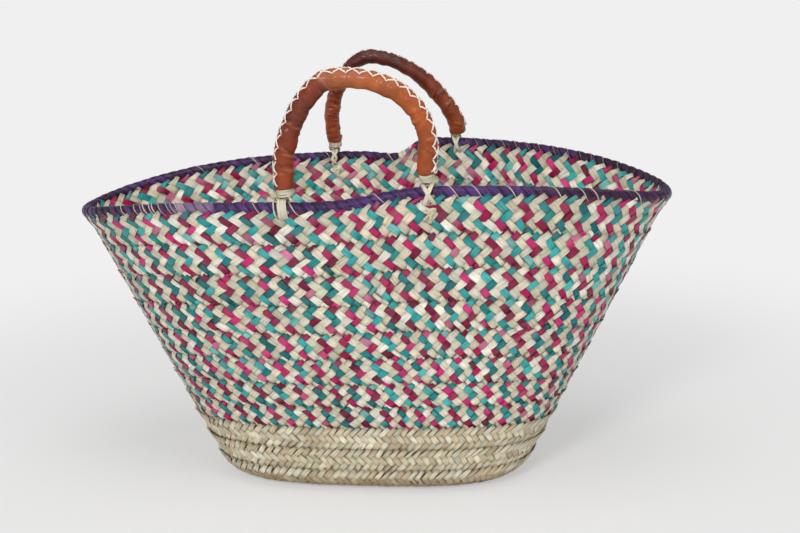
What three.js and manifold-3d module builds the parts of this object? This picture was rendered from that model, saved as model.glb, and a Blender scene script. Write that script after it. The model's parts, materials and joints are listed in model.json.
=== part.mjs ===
// Straw market basket: a plaited palm-leaf band sewn in turns from floor to rim, a whipped rim,
// and two leather-covered rope handles lashed to the rim so that each swings about its two feet.
// Millimetres, +Z up, the basket's long axis along X, its front towards -Y, its floor at z = 0.

import * as THREE from 'three';
import Module from 'manifold-3d';

const wasm = await Module();
wasm.setup();

// Driving dimensions of the body
const rimHalfLength = 292;
const rimHalfWidth = 140;
const rimCurveExponent = 2.05;
const floorHalfLength = 151.5;
const floorHalfWidth = 100;
const floorCurveExponent = 3.1;
const turnUnderRadius = 18;
const plaitThickness = 4;
const colouredRowCount = 8;
const colouredTopRowHeight = 34.5;
const colouredLowRowHeight = 22.5;
const naturalRowCount = 3;
const naturalRowHeight = 23.4;
const rimEndDroop = 28;
const rimStepHeight = 15.5;
const rimStepPlace = 20;
const rimStepLength = 18;
const rowBulge = 0.7;
const seamGap = 0.3;

// Driving dimensions of the sewing twine
const seamGrooveDepth = 1.3;
const twineWidth = 1.6;
const twineDepth = 2.2;

// Driving dimensions of the rim
const rimCoreRadius = 3.2;
const rimBindingThickness = 2;
const rimSkirtThickness = 1.3;
const rimSkirtReach = 1.3;
const bindingGapPlace = 22;
const bindingGapLength = 18;

// Driving dimensions of the lashings
const tieStrandDiameter = 1.8;
const tiePitch = 2.4;
const tieLoops = 3;
const tieClearance = 0.4;
const tieSlotClearance = 0.8;
const knotHalfWidth = 5;
const knotHalfHeight = 4;
const knotHalfDepth = 2;

// Driving dimensions of the handles
const handleHalfSpan = 67;
const leatherRadius = 9.4;
const leatherThickness = 1.7;
const leatherStart = 18.6;
const stubRadius = 5.1;
const eyeHalfWidth = 6.2;
const eyeHalfThickness = 2.5;
const eyeInnerRadius = 7.2;
const eyeBightThickness = 1.5;
const wrapStrandDiameter = 1.9;
const wrapPitch = 2.4;
const wrapTurns = 2;
const laceDiameter = 1.2;
const laceStitches = 28;
const laceSwing = 0.3;

// Driving dimensions of each handle's arch, which is pulled a little out of true by use
const frontHandleCentre = 4;
const frontHandleLeftLegHeight = 34;
const frontHandleRightLegHeight = 34;
const frontHandleTopHeight = 113;
const frontHandleTopShift = -6.5;
const frontHandleArchExponent = 2;
const frontHandleSwayShare = 0.26;
const frontHandleLeanDegrees = 0;
const backHandleCentre = 10;
const backHandleLeftLegHeight = 26;
const backHandleRightLegHeight = 19.5;
const backHandleTopHeight = 109;
const backHandleTopShift = -15;
const backHandleArchExponent = 1.7;
const backHandleSwayShare = 0;
const backHandleLeanDegrees = 12;
const swayOnsetHeight = 8;

// Clearance between pieces that touch on the real basket
const restGap = 0.3;

// Steps used to draw the curved pieces
const columnCount = 40;
const loopSteps = 18;
const strandSides = 5;
const handleSteps = 24;
const handleSides = 8;

// Sizes worked out from the driving dimensions
const rowHeights = [];
for (let i = 0; i < naturalRowCount; i += 1) {
  rowHeights.push(naturalRowHeight);
}
for (let i = 0; i < colouredRowCount; i += 1) {
  const share = colouredRowCount > 1 ? i / (colouredRowCount - 1) : 0;
  rowHeights.push(colouredLowRowHeight + (colouredTopRowHeight - colouredLowRowHeight) * share);
}
const wallHeight = rowHeights.reduce((sum, height) => sum + height, 0);
const tieStrandRadius = tieStrandDiameter / 2;
const tieRadius = eyeInnerRadius + eyeBightThickness + tieClearance + tieStrandRadius;
const eyeOuterRadius = tieRadius + tieStrandRadius + tieClearance;
const tieWidth = tiePitch * (tieLoops - 1) + tieStrandDiameter;

// A power that keeps the sign, for superellipse outlines
function signedPower(value, exponent) {
  return Math.sign(value) * Math.abs(value) ** exponent;
}

// The outer face of the wall at height z before the rim's droop and step are added
function wallPoint(z, angle) {
  const share = z / wallHeight;
  let inset = 0;
  if (z < turnUnderRadius) {
    const rest = turnUnderRadius - z;
    inset = turnUnderRadius - Math.sqrt(Math.max(0, turnUnderRadius ** 2 - rest ** 2));
  }
  const halfLength = floorHalfLength + (rimHalfLength - floorHalfLength) * share - inset;
  const halfWidth = floorHalfWidth + (rimHalfWidth - floorHalfWidth) * share - inset;
  const roundness = floorCurveExponent + (rimCurveExponent - floorCurveExponent) * share;
  const x = halfLength * signedPower(Math.cos(angle), 2 / roundness);
  const y = halfWidth * signedPower(Math.sin(angle), 2 / roundness);
  const droop = rimEndDroop * share * Math.abs(Math.cos(angle)) ** 3;
  const step = rimStepHeight * share ** 2 * (1 / (1 + Math.exp(-(x - rimStepPlace) / rimStepLength)) - 0.5);
  return new THREE.Vector3(x, y, z - droop + step);
}

// Angles of the columns, closer together at the pointed ends and at the rim's step
function columnAngles() {
  const samples = 1440;
  const weights = [0];
  for (let i = 0; i < samples; i += 1) {
    const from = wallPoint(wallHeight * 0.6, (i / samples) * 2 * Math.PI);
    const to = wallPoint(wallHeight * 0.6, ((i + 1) / samples) * 2 * Math.PI);
    const towardsEnd = (Math.abs(from.x) / rimHalfLength) ** 4;
    const nearStep = Math.exp(-(((from.x - rimStepPlace) / (rimStepLength * 2.5)) ** 2));
    const density = 1 + 6 * towardsEnd + 0.8 * nearStep;
    weights.push(weights[i] + from.distanceTo(to) * density);
  }
  const total = weights[samples];
  const angles = [];
  for (let column = 0; column < columnCount; column += 1) {
    const wanted = (total * column) / columnCount;
    let i = 0;
    while (weights[i + 1] < wanted) {
      i += 1;
    }
    const share = (wanted - weights[i]) / (weights[i + 1] - weights[i]);
    angles.push(((i + share) / samples) * 2 * Math.PI);
  }
  return angles;
}
const angles = columnAngles();

// The wall's outer face, outward normal and upward tangent at one column and height
function wallFrame(z, column) {
  const here = wallPoint(z, angles[column]);
  const next = wallPoint(z, angles[(column + 1) % columnCount]);
  const last = wallPoint(z, angles[(column + columnCount - 1) % columnCount]);
  const along = next.clone().sub(here).normalize().add(here.clone().sub(last).normalize()).normalize();
  const low = wallPoint(Math.max(0, z - 0.01), angles[column]);
  const high = wallPoint(Math.min(wallHeight, z + 0.01), angles[column]);
  const up = high.sub(low).normalize();
  const normal = along.clone().cross(up).normalize();
  return { point: here, along, up: normal.clone().cross(along).normalize(), normal };
}

// Closed solid through a list of like sections: a ring, or a bar with two caps
function sweepSolid(sections, closed, outline) {
  const count = sections.length;
  const sides = sections[0].length;
  const positions = [];
  for (const section of sections) {
    for (const point of section) {
      positions.push(point.x, point.y, point.z);
    }
  }
  const indices = [];
  const spans = closed ? count : count - 1;
  for (let i = 0; i < spans; i += 1) {
    const here = i * sides;
    const there = ((i + 1) % count) * sides;
    for (let k = 0; k < sides; k += 1) {
      const next = (k + 1) % sides;
      indices.push(here + k, there + k, there + next);
      indices.push(here + k, there + next, here + next);
    }
  }
  if (!closed) {
    const fan = [];
    for (let k = 1; k < sides - 1; k += 1) {
      fan.push([0, k, k + 1]);
    }
    const cap = outline ? THREE.ShapeUtils.triangulateShape(outline, []) : fan;
    const flip = outline && THREE.ShapeUtils.area(outline) < 0;
    for (const [a, b, c] of cap) {
      const far = (count - 1) * sides;
      if (flip) {
        indices.push(a, c, b);
        indices.push(far + a, far + b, far + c);
      } else {
        indices.push(a, b, c);
        indices.push(far + a, far + c, far + b);
      }
    }
  }
  return facingOut(positions, indices);
}

// An indexed geometry with its triangles turned so that its faces point out
function facingOut(positions, indices) {
  let volume = 0;
  const corner = (i) => new THREE.Vector3(positions[3 * i], positions[3 * i + 1], positions[3 * i + 2]);
  for (let i = 0; i < indices.length; i += 3) {
    volume += corner(indices[i]).dot(corner(indices[i + 1]).cross(corner(indices[i + 2])));
  }
  const faces = [...indices];
  if (volume < 0) {
    for (let i = 0; i < faces.length; i += 3) {
      [faces[i + 1], faces[i + 2]] = [faces[i + 2], faces[i + 1]];
    }
  }
  const geometry = new THREE.BufferGeometry();
  geometry.setAttribute('position', new THREE.Float32BufferAttribute(positions, 3));
  geometry.setIndex(faces);
  return geometry;
}

// manifold-3d solid from an indexed geometry, and back
function toManifold(geometry) {
  return new wasm.Manifold(new wasm.Mesh({
    numProp: 3,
    vertProperties: Float32Array.from(geometry.getAttribute('position').array),
    triVerts: Uint32Array.from(geometry.getIndex().array),
  }));
}
function fromManifold(solid) {
  const mesh = solid.getMesh();
  return facingOut([...mesh.vertProperties], [...mesh.triVerts]);
}

// A 4 by 4 matrix that carries local x, y, z onto three directions at a place
function placement(xAxis, yAxis, zAxis, origin) {
  return new THREE.Matrix4().makeBasis(xAxis, yAxis, zAxis).setPosition(origin).elements;
}

// Tube of a few sides through a list of points, with its section turned as little as possible
function strand(points, radius, sides) {
  const sections = [];
  let side = null;
  points.forEach((point, i) => {
    const before = points[Math.max(0, i - 1)];
    const after = points[Math.min(points.length - 1, i + 1)];
    const direction = after.clone().sub(before).normalize();
    if (side === null) {
      side = new THREE.Vector3(0, 0, 1);
      if (Math.abs(direction.z) > 0.9) {
        side.set(1, 0, 0);
      }
    }
    side = side.sub(direction.clone().multiplyScalar(side.dot(direction))).normalize();
    const other = direction.clone().cross(side);
    const section = [];
    for (let k = 0; k < sides; k += 1) {
      const turn = (k / sides) * 2 * Math.PI;
      section.push(point.clone()
        .addScaledVector(side, radius * Math.cos(turn))
        .addScaledVector(other, radius * Math.sin(turn)));
    }
    sections.push(section);
  });
  return sweepSolid(sections, false);
}

// Least gap between a winding's tube and itself, measured between points over one loop apart
function leastSelfGap(points, diameter, loopLength) {
  const fine = [];
  for (let i = 0; i < points.length - 1; i += 1) {
    for (let k = 0; k < 6; k += 1) {
      fine.push(points[i].clone().lerp(points[i + 1], k / 6));
    }
  }
  const skip = Math.floor(loopLength * 6 * 0.5);
  let least = Infinity;
  for (let i = 0; i < fine.length; i += 1) {
    for (let k = i + skip; k < fine.length; k += 1) {
      least = Math.min(least, fine[i].distanceTo(fine[k]));
    }
  }
  return least - diameter;
}

// One turn of the plait up the wall, from height low to height high
function rowGeometry(low, high, turnsUnder) {
  const sections = [];
  const groove = seamGrooveDepth;
  for (let column = 0; column < columnCount; column += 1) {
    const at = (z, out) => {
      const frame = wallFrame(z, column);
      return frame.point.addScaledVector(frame.normal, out);
    };
    const top = high - seamGap / 2;
    const section = [];
    if (turnsUnder) {
      for (const share of [0, 1 / 3, 2 / 3, 1]) {
        section.push(at(turnUnderRadius * (1 - Math.cos((share * Math.PI) / 2)), 0));
      }
      section.push(at(top, 0));
      section.push(at(top - groove, -plaitThickness));
      for (const share of [1, 2 / 3, 1 / 3, 0]) {
        section.push(at(turnUnderRadius * (1 - Math.cos((share * Math.PI) / 2)), -plaitThickness));
      }
    } else {
      const bottom = low + seamGap / 2;
      section.push(at(bottom, 0));
      section.push(at((low + high) / 2, rowBulge));
      section.push(at(top, 0));
      section.push(at(top - (high < wallHeight ? groove : 0), -plaitThickness));
      section.push(at(bottom + groove, -plaitThickness));
    }
    sections.push(section);
  }
  return sweepSolid(sections, true);
}

// Twine laid in the groove inside the seam at one height
function twineGeometry(height) {
  const sections = [];
  const back = plaitThickness - seamGap / 2;
  for (let column = 0; column < columnCount; column += 1) {
    const frame = wallFrame(height, column);
    const at = (up, depth) => frame.point.clone()
      .addScaledVector(frame.up, up)
      .addScaledVector(frame.normal, -depth);
    sections.push([at(-twineWidth / 2, back), at(0, back - twineDepth), at(twineWidth / 2, back)]);
  }
  return sweepSolid(sections, true);
}

// Plan outline of the floor, drawn in from the wall's foot by a distance
function floorOutline(inset) {
  const foot = wallPoint(0, 0).x;
  const halfWidth = floorHalfWidth - turnUnderRadius;
  return angles.map((angle) => {
    const point = wallPoint(0, angle);
    return new THREE.Vector2(point.x * ((foot - inset) / foot), point.y * ((halfWidth - inset) / halfWidth));
  });
}

const floorTurnCount = Math.max(1, Math.round((floorHalfWidth - turnUnderRadius) / naturalRowHeight - 0.5));
const floorCentreHalfWidth = (floorHalfWidth - turnUnderRadius) / (2 * floorTurnCount + 1);

function floorTurnGeometry(turn) {
  const outer = floorOutline((turn - 1) * 2 * floorCentreHalfWidth + restGap);
  const inner = floorOutline(turn * 2 * floorCentreHalfWidth);
  const sections = outer.map((point, i) => [
    new THREE.Vector3(point.x, point.y, 0),
    new THREE.Vector3(point.x, point.y, plaitThickness),
    new THREE.Vector3(inner[i].x, inner[i].y, plaitThickness),
    new THREE.Vector3(inner[i].x, inner[i].y, 0),
  ]);
  return sweepSolid(sections, true);
}

function floorCentreGeometry() {
  const shape = new THREE.Shape(floorOutline(floorTurnCount * 2 * floorCentreHalfWidth + restGap));
  return new THREE.ExtrudeGeometry(shape, { depth: plaitThickness, bevelEnabled: false });
}

// Frame of the rim at one column: the core's centre, outward normal and upward tangent
function rimFrame(column) {
  const frame = wallFrame(wallHeight, column);
  const centre = frame.point.clone()
    .addScaledVector(frame.normal, -plaitThickness / 2)
    .addScaledVector(frame.up, restGap + rimCoreRadius);
  return { centre, normal: frame.normal, up: frame.up };
}

// A ring or bar that follows the rim, from an outline in (normal, up) coordinates
function rimSweep(outline, frames, closed) {
  const sections = frames.map((frame) => outline.map((point) => frame.centre.clone()
    .addScaledVector(frame.normal, point.x)
    .addScaledVector(frame.up, point.y)));
  return sweepSolid(sections, closed, outline);
}

function polar(radius, degrees) {
  const turn = (degrees * Math.PI) / 180;
  return new THREE.Vector2(radius * Math.cos(turn), radius * Math.sin(turn));
}

function rimCoreGeometry() {
  const outline = [30, 90, 150, 210, 270, 330].map((degrees) => polar(rimCoreRadius, degrees));
  return rimSweep(outline, angles.map((_, column) => rimFrame(column)), true);
}

// The rim's frame where its core passes a given x on one side of the basket
function rimAt(x, side) {
  for (let column = 0; column < columnCount; column += 1) {
    const here = rimFrame(column);
    const next = rimFrame((column + 1) % columnCount);
    const share = (x - here.centre.x) / (next.centre.x - here.centre.x);
    if (here.centre.y * side > 0 && next.centre.y * side > 0 && share >= 0 && share < 1) {
      return {
        centre: here.centre.clone().lerp(next.centre, share),
        normal: here.normal.clone().lerp(next.normal, share).normalize(),
        up: here.up.clone().lerp(next.up, share).normalize(),
        column,
        share,
      };
    }
  }
  throw new Error('No rim at this place');
}

// The binding: a sleeve over the core and the wall's top edge, open where the band ends at the back
function rimBindingGeometry() {
  const inner = rimCoreRadius + restGap;
  const outer = inner + rimBindingThickness;
  const skirtInner = plaitThickness / 2 + restGap;
  const skirtOuter = skirtInner + rimSkirtThickness;
  const skirtLow = -(rimCoreRadius + restGap + rimSkirtReach);
  const outline = [
    new THREE.Vector2(skirtOuter, skirtLow),
    ...[-30, 30, 90, 150, 210].map((degrees) => polar(outer, degrees)),
    new THREE.Vector2(-skirtOuter, skirtLow),
    new THREE.Vector2(-skirtInner, skirtLow),
    ...[210, 150, 90, 30, -30].map((degrees) => polar(inner, degrees)),
    new THREE.Vector2(skirtInner, skirtLow),
  ];
  // The columns run anticlockwise seen from above, so the back is passed from right to left
  const start = rimAt(bindingGapPlace - bindingGapLength / 2, 1);
  const end = rimAt(bindingGapPlace + bindingGapLength / 2, 1);
  const frames = [start];
  const first = (start.column + 1) % columnCount;
  let column = first;
  do {
    frames.push(rimFrame(column));
    column = (column + 1) % columnCount;
  } while (column !== (end.column + 1) % columnCount);
  frames.push(end);
  return rimSweep(outline, frames, false);
}

// Where a handle stands: its feet on the rim, its hinge axis and its own up and outward directions
function handlePlace(side, centre, lean) {
  const left = rimAt(centre - handleHalfSpan, side);
  const right = rimAt(centre + handleHalfSpan, side);
  const axis = right.centre.clone().sub(left.centre).normalize();
  const middle = left.centre.clone().lerp(right.centre, 0.5);
  const upright = new THREE.Vector3(0, 0, 1).addScaledVector(axis, -axis.z).normalize();
  const outward = upright.clone().cross(axis).multiplyScalar(side).normalize();
  const turn = (lean * Math.PI) / 180;
  const up = upright.clone().multiplyScalar(Math.cos(turn)).addScaledVector(outward, -Math.sin(turn));
  const out = outward.clone().multiplyScalar(Math.cos(turn)).addScaledVector(upright, Math.sin(turn));
  return { feet: [left, right], axis, middle, upright, outward, up, out, halfSpan: left.centre.distanceTo(right.centre) / 2 };
}

// A handle's centre line: two legs and two quarters of a superellipse, which sway sideways as they rise
class HandleLine extends THREE.Curve {
  constructor(place, shape) {
    super();
    this.place = place;
    this.shape = shape;
    this.arcLengthDivisions = 400;
  }

  sway(height) {
    const rise = height - leatherStart;
    return (this.shape.swayShare * rise ** 2) / (rise + swayOnsetHeight);
  }

  getPoint(t) {
    const { place, shape } = this;
    const legShare = 0.2;
    const isLeft = t < 0.5;
    const fromEnd = isLeft ? t : 1 - t;
    const foot = isLeft ? -place.halfSpan : place.halfSpan;
    const legHeight = isLeft ? shape.leftLegHeight : shape.rightLegHeight;
    const turn = (Math.max(0, fromEnd - legShare) / (0.5 - legShare)) * (Math.PI / 2);
    const power = 2 / shape.archExponent;
    const legRun = Math.min(1, fromEnd / legShare);
    const height = leatherStart + (legHeight - leatherStart) * legRun
      + (shape.topHeight - legHeight) * Math.sin(turn) ** power;
    const top = shape.topShift - this.sway(shape.topHeight);
    const across = top + (foot - top) * Math.cos(turn) ** power + this.sway(height);
    return place.middle.clone().addScaledVector(place.axis, across).addScaledVector(place.up, height);
  }
}

const frontPlace = handlePlace(-1, frontHandleCentre, frontHandleLeanDegrees);
const backPlace = handlePlace(1, backHandleCentre, backHandleLeanDegrees);
const handles = {
  front: {
    place: frontPlace,
    line: new HandleLine(frontPlace, {
      leftLegHeight: frontHandleLeftLegHeight,
      rightLegHeight: frontHandleRightLegHeight,
      topHeight: frontHandleTopHeight,
      topShift: frontHandleTopShift,
      archExponent: frontHandleArchExponent,
      swayShare: frontHandleSwayShare,
    }),
    laceColour: 0xece2d6,
    leatherColour: 0xb05a2a,
  },
  back: {
    place: backPlace,
    line: new HandleLine(backPlace, {
      leftLegHeight: backHandleLeftLegHeight,
      rightLegHeight: backHandleRightLegHeight,
      topHeight: backHandleTopHeight,
      topShift: backHandleTopShift,
      archExponent: backHandleArchExponent,
      swayShare: backHandleSwayShare,
    }),
    laceColour: 0xd9cdbd,
    leatherColour: 0x8c3c1e,
  },
};

// The handle's centre line and its frames: tangent, direction away from the arch's middle, thickness
function handleFrames(handle, steps) {
  const frames = [];
  for (let i = 0; i <= steps; i += 1) {
    const point = handle.line.getPointAt(i / steps);
    const tangent = handle.line.getTangentAt(i / steps);
    const away = handle.place.out.clone().cross(tangent).normalize();
    if (away.dot(point.clone().sub(handle.place.middle)) < 0) {
      away.negate();
    }
    frames.push({ point, away, side: handle.place.out });
  }
  return frames;
}

// One section round a handle frame, with flats facing the arch's outside and its front
function handleSection(frame, radius, squash) {
  const section = [];
  for (let k = 0; k < handleSides; k += 1) {
    const turn = ((k + 0.5) / handleSides) * 2 * Math.PI;
    section.push(frame.point.clone()
      .addScaledVector(frame.away, radius * Math.cos(turn))
      .addScaledVector(frame.side, radius * Math.sin(turn) * squash));
  }
  return section;
}

function leatherGeometry(handle) {
  const frames = handleFrames(handle, handleSteps);
  const bore = leatherRadius - leatherThickness;
  const outside = frames.map((frame) => handleSection(frame, leatherRadius, 1));
  const inside = frames.map((frame) => handleSection(frame, bore, 1)).reverse();
  return sweepSolid([...outside, ...inside], true);
}

// The rope core: full in the sleeve, thin at its bare ends, flattened at the eyes
function coreGeometry(handle) {
  const { axis, up, out, feet } = handle.place;
  const frames = handleFrames(handle, handleSteps);
  const flat = Math.cos(Math.PI / handleSides);
  const full = leatherRadius - leatherThickness - restGap;
  const sections = frames.map((frame) => handleSection(frame, full, 1));
  const ends = (foot, hand) => [
    { height: eyeInnerRadius, radius: eyeHalfWidth / flat, squash: eyeHalfThickness / eyeHalfWidth },
    { height: eyeOuterRadius, radius: eyeHalfWidth / flat, squash: eyeHalfThickness / eyeHalfWidth },
    { height: eyeOuterRadius + restGap, radius: stubRadius, squash: 1 },
    { height: leatherStart, radius: stubRadius, squash: 1 },
  ].map(({ height, radius, squash }) => handleSection(
    { point: foot.centre.clone().addScaledVector(up, height), away: axis.clone().multiplyScalar(hand), side: out },
    radius,
    squash,
  ));
  const left = ends(feet[0], -1);
  const right = ends(feet[1], 1).reverse();
  // The full core starts a little inside the sleeve, past the shoulder
  const body = sections.slice(1, handleSteps);
  let solid = toManifold(sweepSolid([...left, ...body, ...right], false));
  const width = tieWidth + 2 * tieClearance;
  const slotInner = tieRadius - tieStrandRadius - tieClearance;
  const slot = wasm.Manifold.cylinder(width, eyeOuterRadius, eyeOuterRadius, 32, true)
    .subtract(wasm.Manifold.cylinder(width + 2, slotInner, slotInner, 32, true));
  for (const foot of feet) {
    solid = solid.subtract(slot.transform(placement(out, up, out.clone().cross(up), foot.centre)));
  }
  return fromManifold(solid);
}

// White thread laced to and fro along the sleeve's outer side
function lacingGeometry(handle) {
  const stations = laceStitches * 2;
  const frames = handleFrames(handle, stations + 2);
  const radius = leatherRadius + restGap + laceDiameter / 2;
  const points = [];
  for (let i = 1; i <= stations + 1; i += 1) {
    const turn = i % 2 === 0 ? laceSwing : -laceSwing;
    const frame = frames[i];
    points.push(frame.point.clone()
      .addScaledVector(frame.away, radius * Math.cos(turn))
      .addScaledVector(frame.side, radius * Math.sin(turn)));
  }
  return strand(points, laceDiameter / 2, 4);
}

// Palm strip wound round the bare end of a core, under the sleeve
function wrapGeometry(handle, foot) {
  const { axis, up, out } = handle.place;
  const radius = stubRadius + restGap + wrapStrandDiameter / 2;
  const start = eyeOuterRadius + restGap + wrapStrandDiameter / 2;
  const points = [];
  const steps = Math.round(wrapTurns * loopSteps);
  for (let i = 0; i <= steps; i += 1) {
    const turn = (i / loopSteps) * 2 * Math.PI;
    points.push(foot.centre.clone()
      .addScaledVector(up, start + (wrapPitch * i) / loopSteps)
      .addScaledVector(axis, radius * Math.cos(turn))
      .addScaledVector(out, radius * Math.sin(turn)));
  }
  return { geometry: strand(points, wrapStrandDiameter / 2, strandSides), points };
}

// Lashing: loops round the rim, through the wall's holes and the handle's eye, stepping across in the wall
const tieStepStart = 160;
const tieStepSpan = 40;
const tieEndTurn = 150;

function tieShare(turn) {
  const past = turn - tieStepStart;
  const loops = Math.floor(past / 360);
  return loops + Math.min(1, (past - loops * 360) / tieStepSpan);
}

function tieGeometry(place, foot, startsInside) {
  const firstTurn = startsInside ? -tieEndTurn : tieEndTurn;
  const middle = startsInside ? (tieLoops - 1) / 2 : (tieLoops + 1) / 2;
  const points = [];
  const steps = tieLoops * loopSteps;
  const turns = new Set();
  for (let i = 0; i <= steps; i += 1) {
    turns.add(Math.round(firstTurn + (i * 360) / loopSteps));
  }
  for (let loop = -1; loop <= tieLoops; loop += 1) {
    for (const turn of [tieStepStart, tieStepStart + tieStepSpan / 2, tieStepStart + tieStepSpan]) {
      turns.add(turn + loop * 360);
    }
  }
  const inOrder = [...turns].filter((turn) => turn >= firstTurn && turn <= firstTurn + tieLoops * 360);
  for (const turn of inOrder.sort((one, two) => one - two)) {
    const radians = (turn * Math.PI) / 180;
    points.push(foot.centre.clone()
      .addScaledVector(place.axis, (tieShare(turn) - middle) * tiePitch)
      .addScaledVector(place.upright, tieRadius * Math.cos(radians))
      .addScaledVector(place.outward, tieRadius * Math.sin(radians)));
  }
  return { geometry: strand(points, tieStrandRadius, strandSides), points };
}

function knotGeometry(foot, inside) {
  const sign = inside ? -1 : 1;
  const face = plaitThickness / 2 + (inside ? 0 : rowBulge);
  const drop = tieRadius + tieStrandRadius + restGap + knotHalfHeight;
  const centre = foot.centre.clone()
    .addScaledVector(foot.up, -drop)
    .addScaledVector(foot.normal, sign * (face + restGap + knotHalfDepth));
  const across = foot.up.clone().cross(foot.normal).normalize();
  const ball = new THREE.IcosahedronGeometry(1, 1);
  ball.scale(knotHalfWidth, knotHalfHeight, knotHalfDepth);
  ball.applyMatrix4(new THREE.Matrix4().makeBasis(across, foot.up, across.clone().cross(foot.up)).setPosition(centre));
  return ball;
}

// Holes in the top row where the lashings pass through the wall
function topRowGeometry(low, high) {
  let solid = toManifold(rowGeometry(low, high, false));
  for (const handle of Object.values(handles)) {
    for (const [i, foot] of handle.place.feet.entries()) {
      const { axis } = handle.place;
      const up = foot.up.clone().addScaledVector(axis, -foot.up.dot(axis)).normalize();
      const through = axis.clone().cross(up).normalize();
      const width = tieWidth + tiePitch + 2 * tieSlotClearance;
      const height = tieStrandDiameter + 2 * tieSlotClearance;
      const centre = foot.centre.clone()
        .addScaledVector(up, -tieRadius + tieSlotClearance / 4)
        .addScaledVector(axis, (i === 0 ? tiePitch : -tiePitch) / 2);
      const hole = wasm.Manifold.cube([width, height, plaitThickness * 3], true);
      solid = solid.subtract(hole.transform(placement(axis, up, through, centre)));
    }
  }
  return fromManifold(solid);
}

// Materials
function finish(colour, roughness) {
  return new THREE.MeshStandardMaterial({ color: colour, roughness, metalness: 0 });
}
const naturalPlait = finish(0xbfae86, 0.75);
const colouredPlait = finish(0xb79a94, 0.7);
const twineFinish = finish(0xa8926a, 0.85);
const palmCore = finish(0xc9bb93, 0.8);
const purpleRaffia = finish(0x4d2f73, 0.45);
const palmStrip = finish(0xd9d0ae, 0.6);

const basket = new THREE.Group();

function add(parent, name, geometry, material) {
  const mesh = new THREE.Mesh(geometry, material);
  mesh.name = name;
  parent.add(mesh);
}

// Floor
const floor = new THREE.Group();
basket.add(floor);
add(floor, 'floor_centre_plait', floorCentreGeometry(), naturalPlait);
for (let turn = 1; turn <= floorTurnCount; turn += 1) {
  add(floor, `floor_plait_turn_${floorTurnCount + 1 - turn}`, floorTurnGeometry(turn), naturalPlait);
}

// Wall rows and the twine between them
const wall = new THREE.Group();
basket.add(wall);
let low = 0;
rowHeights.forEach((height, i) => {
  const high = low + height;
  const isNatural = i < naturalRowCount;
  const name = isNatural ? `natural_plait_row_${i + 1}` : `coloured_plait_row_${i + 1 - naturalRowCount}`;
  const isTop = i === rowHeights.length - 1;
  const geometry = isTop ? topRowGeometry(low, wallHeight) : rowGeometry(low, high, i === 0);
  add(wall, name, geometry, isNatural ? naturalPlait : colouredPlait);
  if (!isTop) {
    add(wall, `sewing_twine_${i + 1}`, twineGeometry(high), twineFinish);
  }
  low = high;
});

// Rim
const rim = new THREE.Group();
basket.add(rim);
add(rim, 'rim_core', rimCoreGeometry(), palmCore);
add(rim, 'rim_binding', rimBindingGeometry(), purpleRaffia);

// Handles, lashings and knots
for (const [end, handle] of Object.entries(handles)) {
  const arm = new THREE.Group();
  basket.add(arm);
  const leather = finish(handle.leatherColour, 0.45);
  add(arm, `${end}_handle_core`, coreGeometry(handle), palmCore);
  add(arm, `${end}_handle_leather`, leatherGeometry(handle), leather);
  add(arm, `${end}_handle_lacing`, lacingGeometry(handle), finish(handle.laceColour, 0.6));
  ['left', 'right'].forEach((hand, i) => {
    const foot = handle.place.feet[i];
    const inside = hand === 'left';
    const tie = tieGeometry(handle.place, foot, inside);
    const wrap = wrapGeometry(handle, foot);
    add(rim, `tie_${end}_${hand}`, tie.geometry, palmStrip);
    add(rim, `knot_${end}_${hand}`, knotGeometry(foot, inside), palmStrip);
    add(arm, `${end}_handle_wrap_${hand}`, wrap.geometry, palmStrip);
    const tieGap = leastSelfGap(tie.points, tieStrandDiameter, loopSteps);
    const wrapGap = leastSelfGap(wrap.points, wrapStrandDiameter, loopSteps);
    console.log(`${end} ${hand}: lashing's least gap to itself ${tieGap.toFixed(2)} mm, wrap's ${wrapGap.toFixed(2)} mm`);
  });
  const { middle, axis } = handle.place;
  console.log(`${end} hinge at ${middle.toArray().map((v) => v.toFixed(2))} along ${axis.toArray().map((v) => v.toFixed(4))}`);
}

export default basket;
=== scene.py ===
"""Dresses the straw market basket: plaited wall and floor, whipped rim, lashings and laced leather handles.

Sizes are millimetres until a mesh is made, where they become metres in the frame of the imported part.
"""

import json
import logging
import math
from dataclasses import dataclass, field
from enum import Enum
from typing import Union

import bpy
import numpy as np
from mathutils import Matrix

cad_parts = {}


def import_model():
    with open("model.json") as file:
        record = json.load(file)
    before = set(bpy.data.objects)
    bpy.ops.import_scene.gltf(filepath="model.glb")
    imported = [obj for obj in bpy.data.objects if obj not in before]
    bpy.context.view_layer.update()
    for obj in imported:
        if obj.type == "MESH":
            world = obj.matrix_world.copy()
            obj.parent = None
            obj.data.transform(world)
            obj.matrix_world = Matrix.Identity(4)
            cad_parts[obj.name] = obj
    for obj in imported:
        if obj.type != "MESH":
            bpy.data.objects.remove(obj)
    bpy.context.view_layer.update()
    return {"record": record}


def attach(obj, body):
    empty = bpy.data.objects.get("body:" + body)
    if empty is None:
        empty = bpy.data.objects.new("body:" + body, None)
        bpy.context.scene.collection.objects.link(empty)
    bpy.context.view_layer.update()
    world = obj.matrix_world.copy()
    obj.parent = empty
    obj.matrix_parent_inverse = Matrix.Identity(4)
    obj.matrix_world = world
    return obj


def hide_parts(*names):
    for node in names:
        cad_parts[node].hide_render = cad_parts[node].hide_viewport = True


logging.basicConfig(level=logging.INFO, format="%(levelname)s %(message)s")
LOG = logging.getLogger("basket")

MM = 0.001
TAU = 2.0 * math.pi
Array = np.ndarray


# Small sums


def linear(red: float, green: float, blue: float) -> Array:
    """Linear colour from sRGB levels of 0 to 255.

    Args:
        red: red level.
        green: green level.
        blue: blue level.

    Returns:
        Three linear values of 0 to 1.
    """
    level = np.array([red, green, blue], dtype=float) / 255.0
    return np.where(level <= 0.04045, level / 12.92, ((level + 0.055) / 1.055) ** 2.4)


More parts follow.
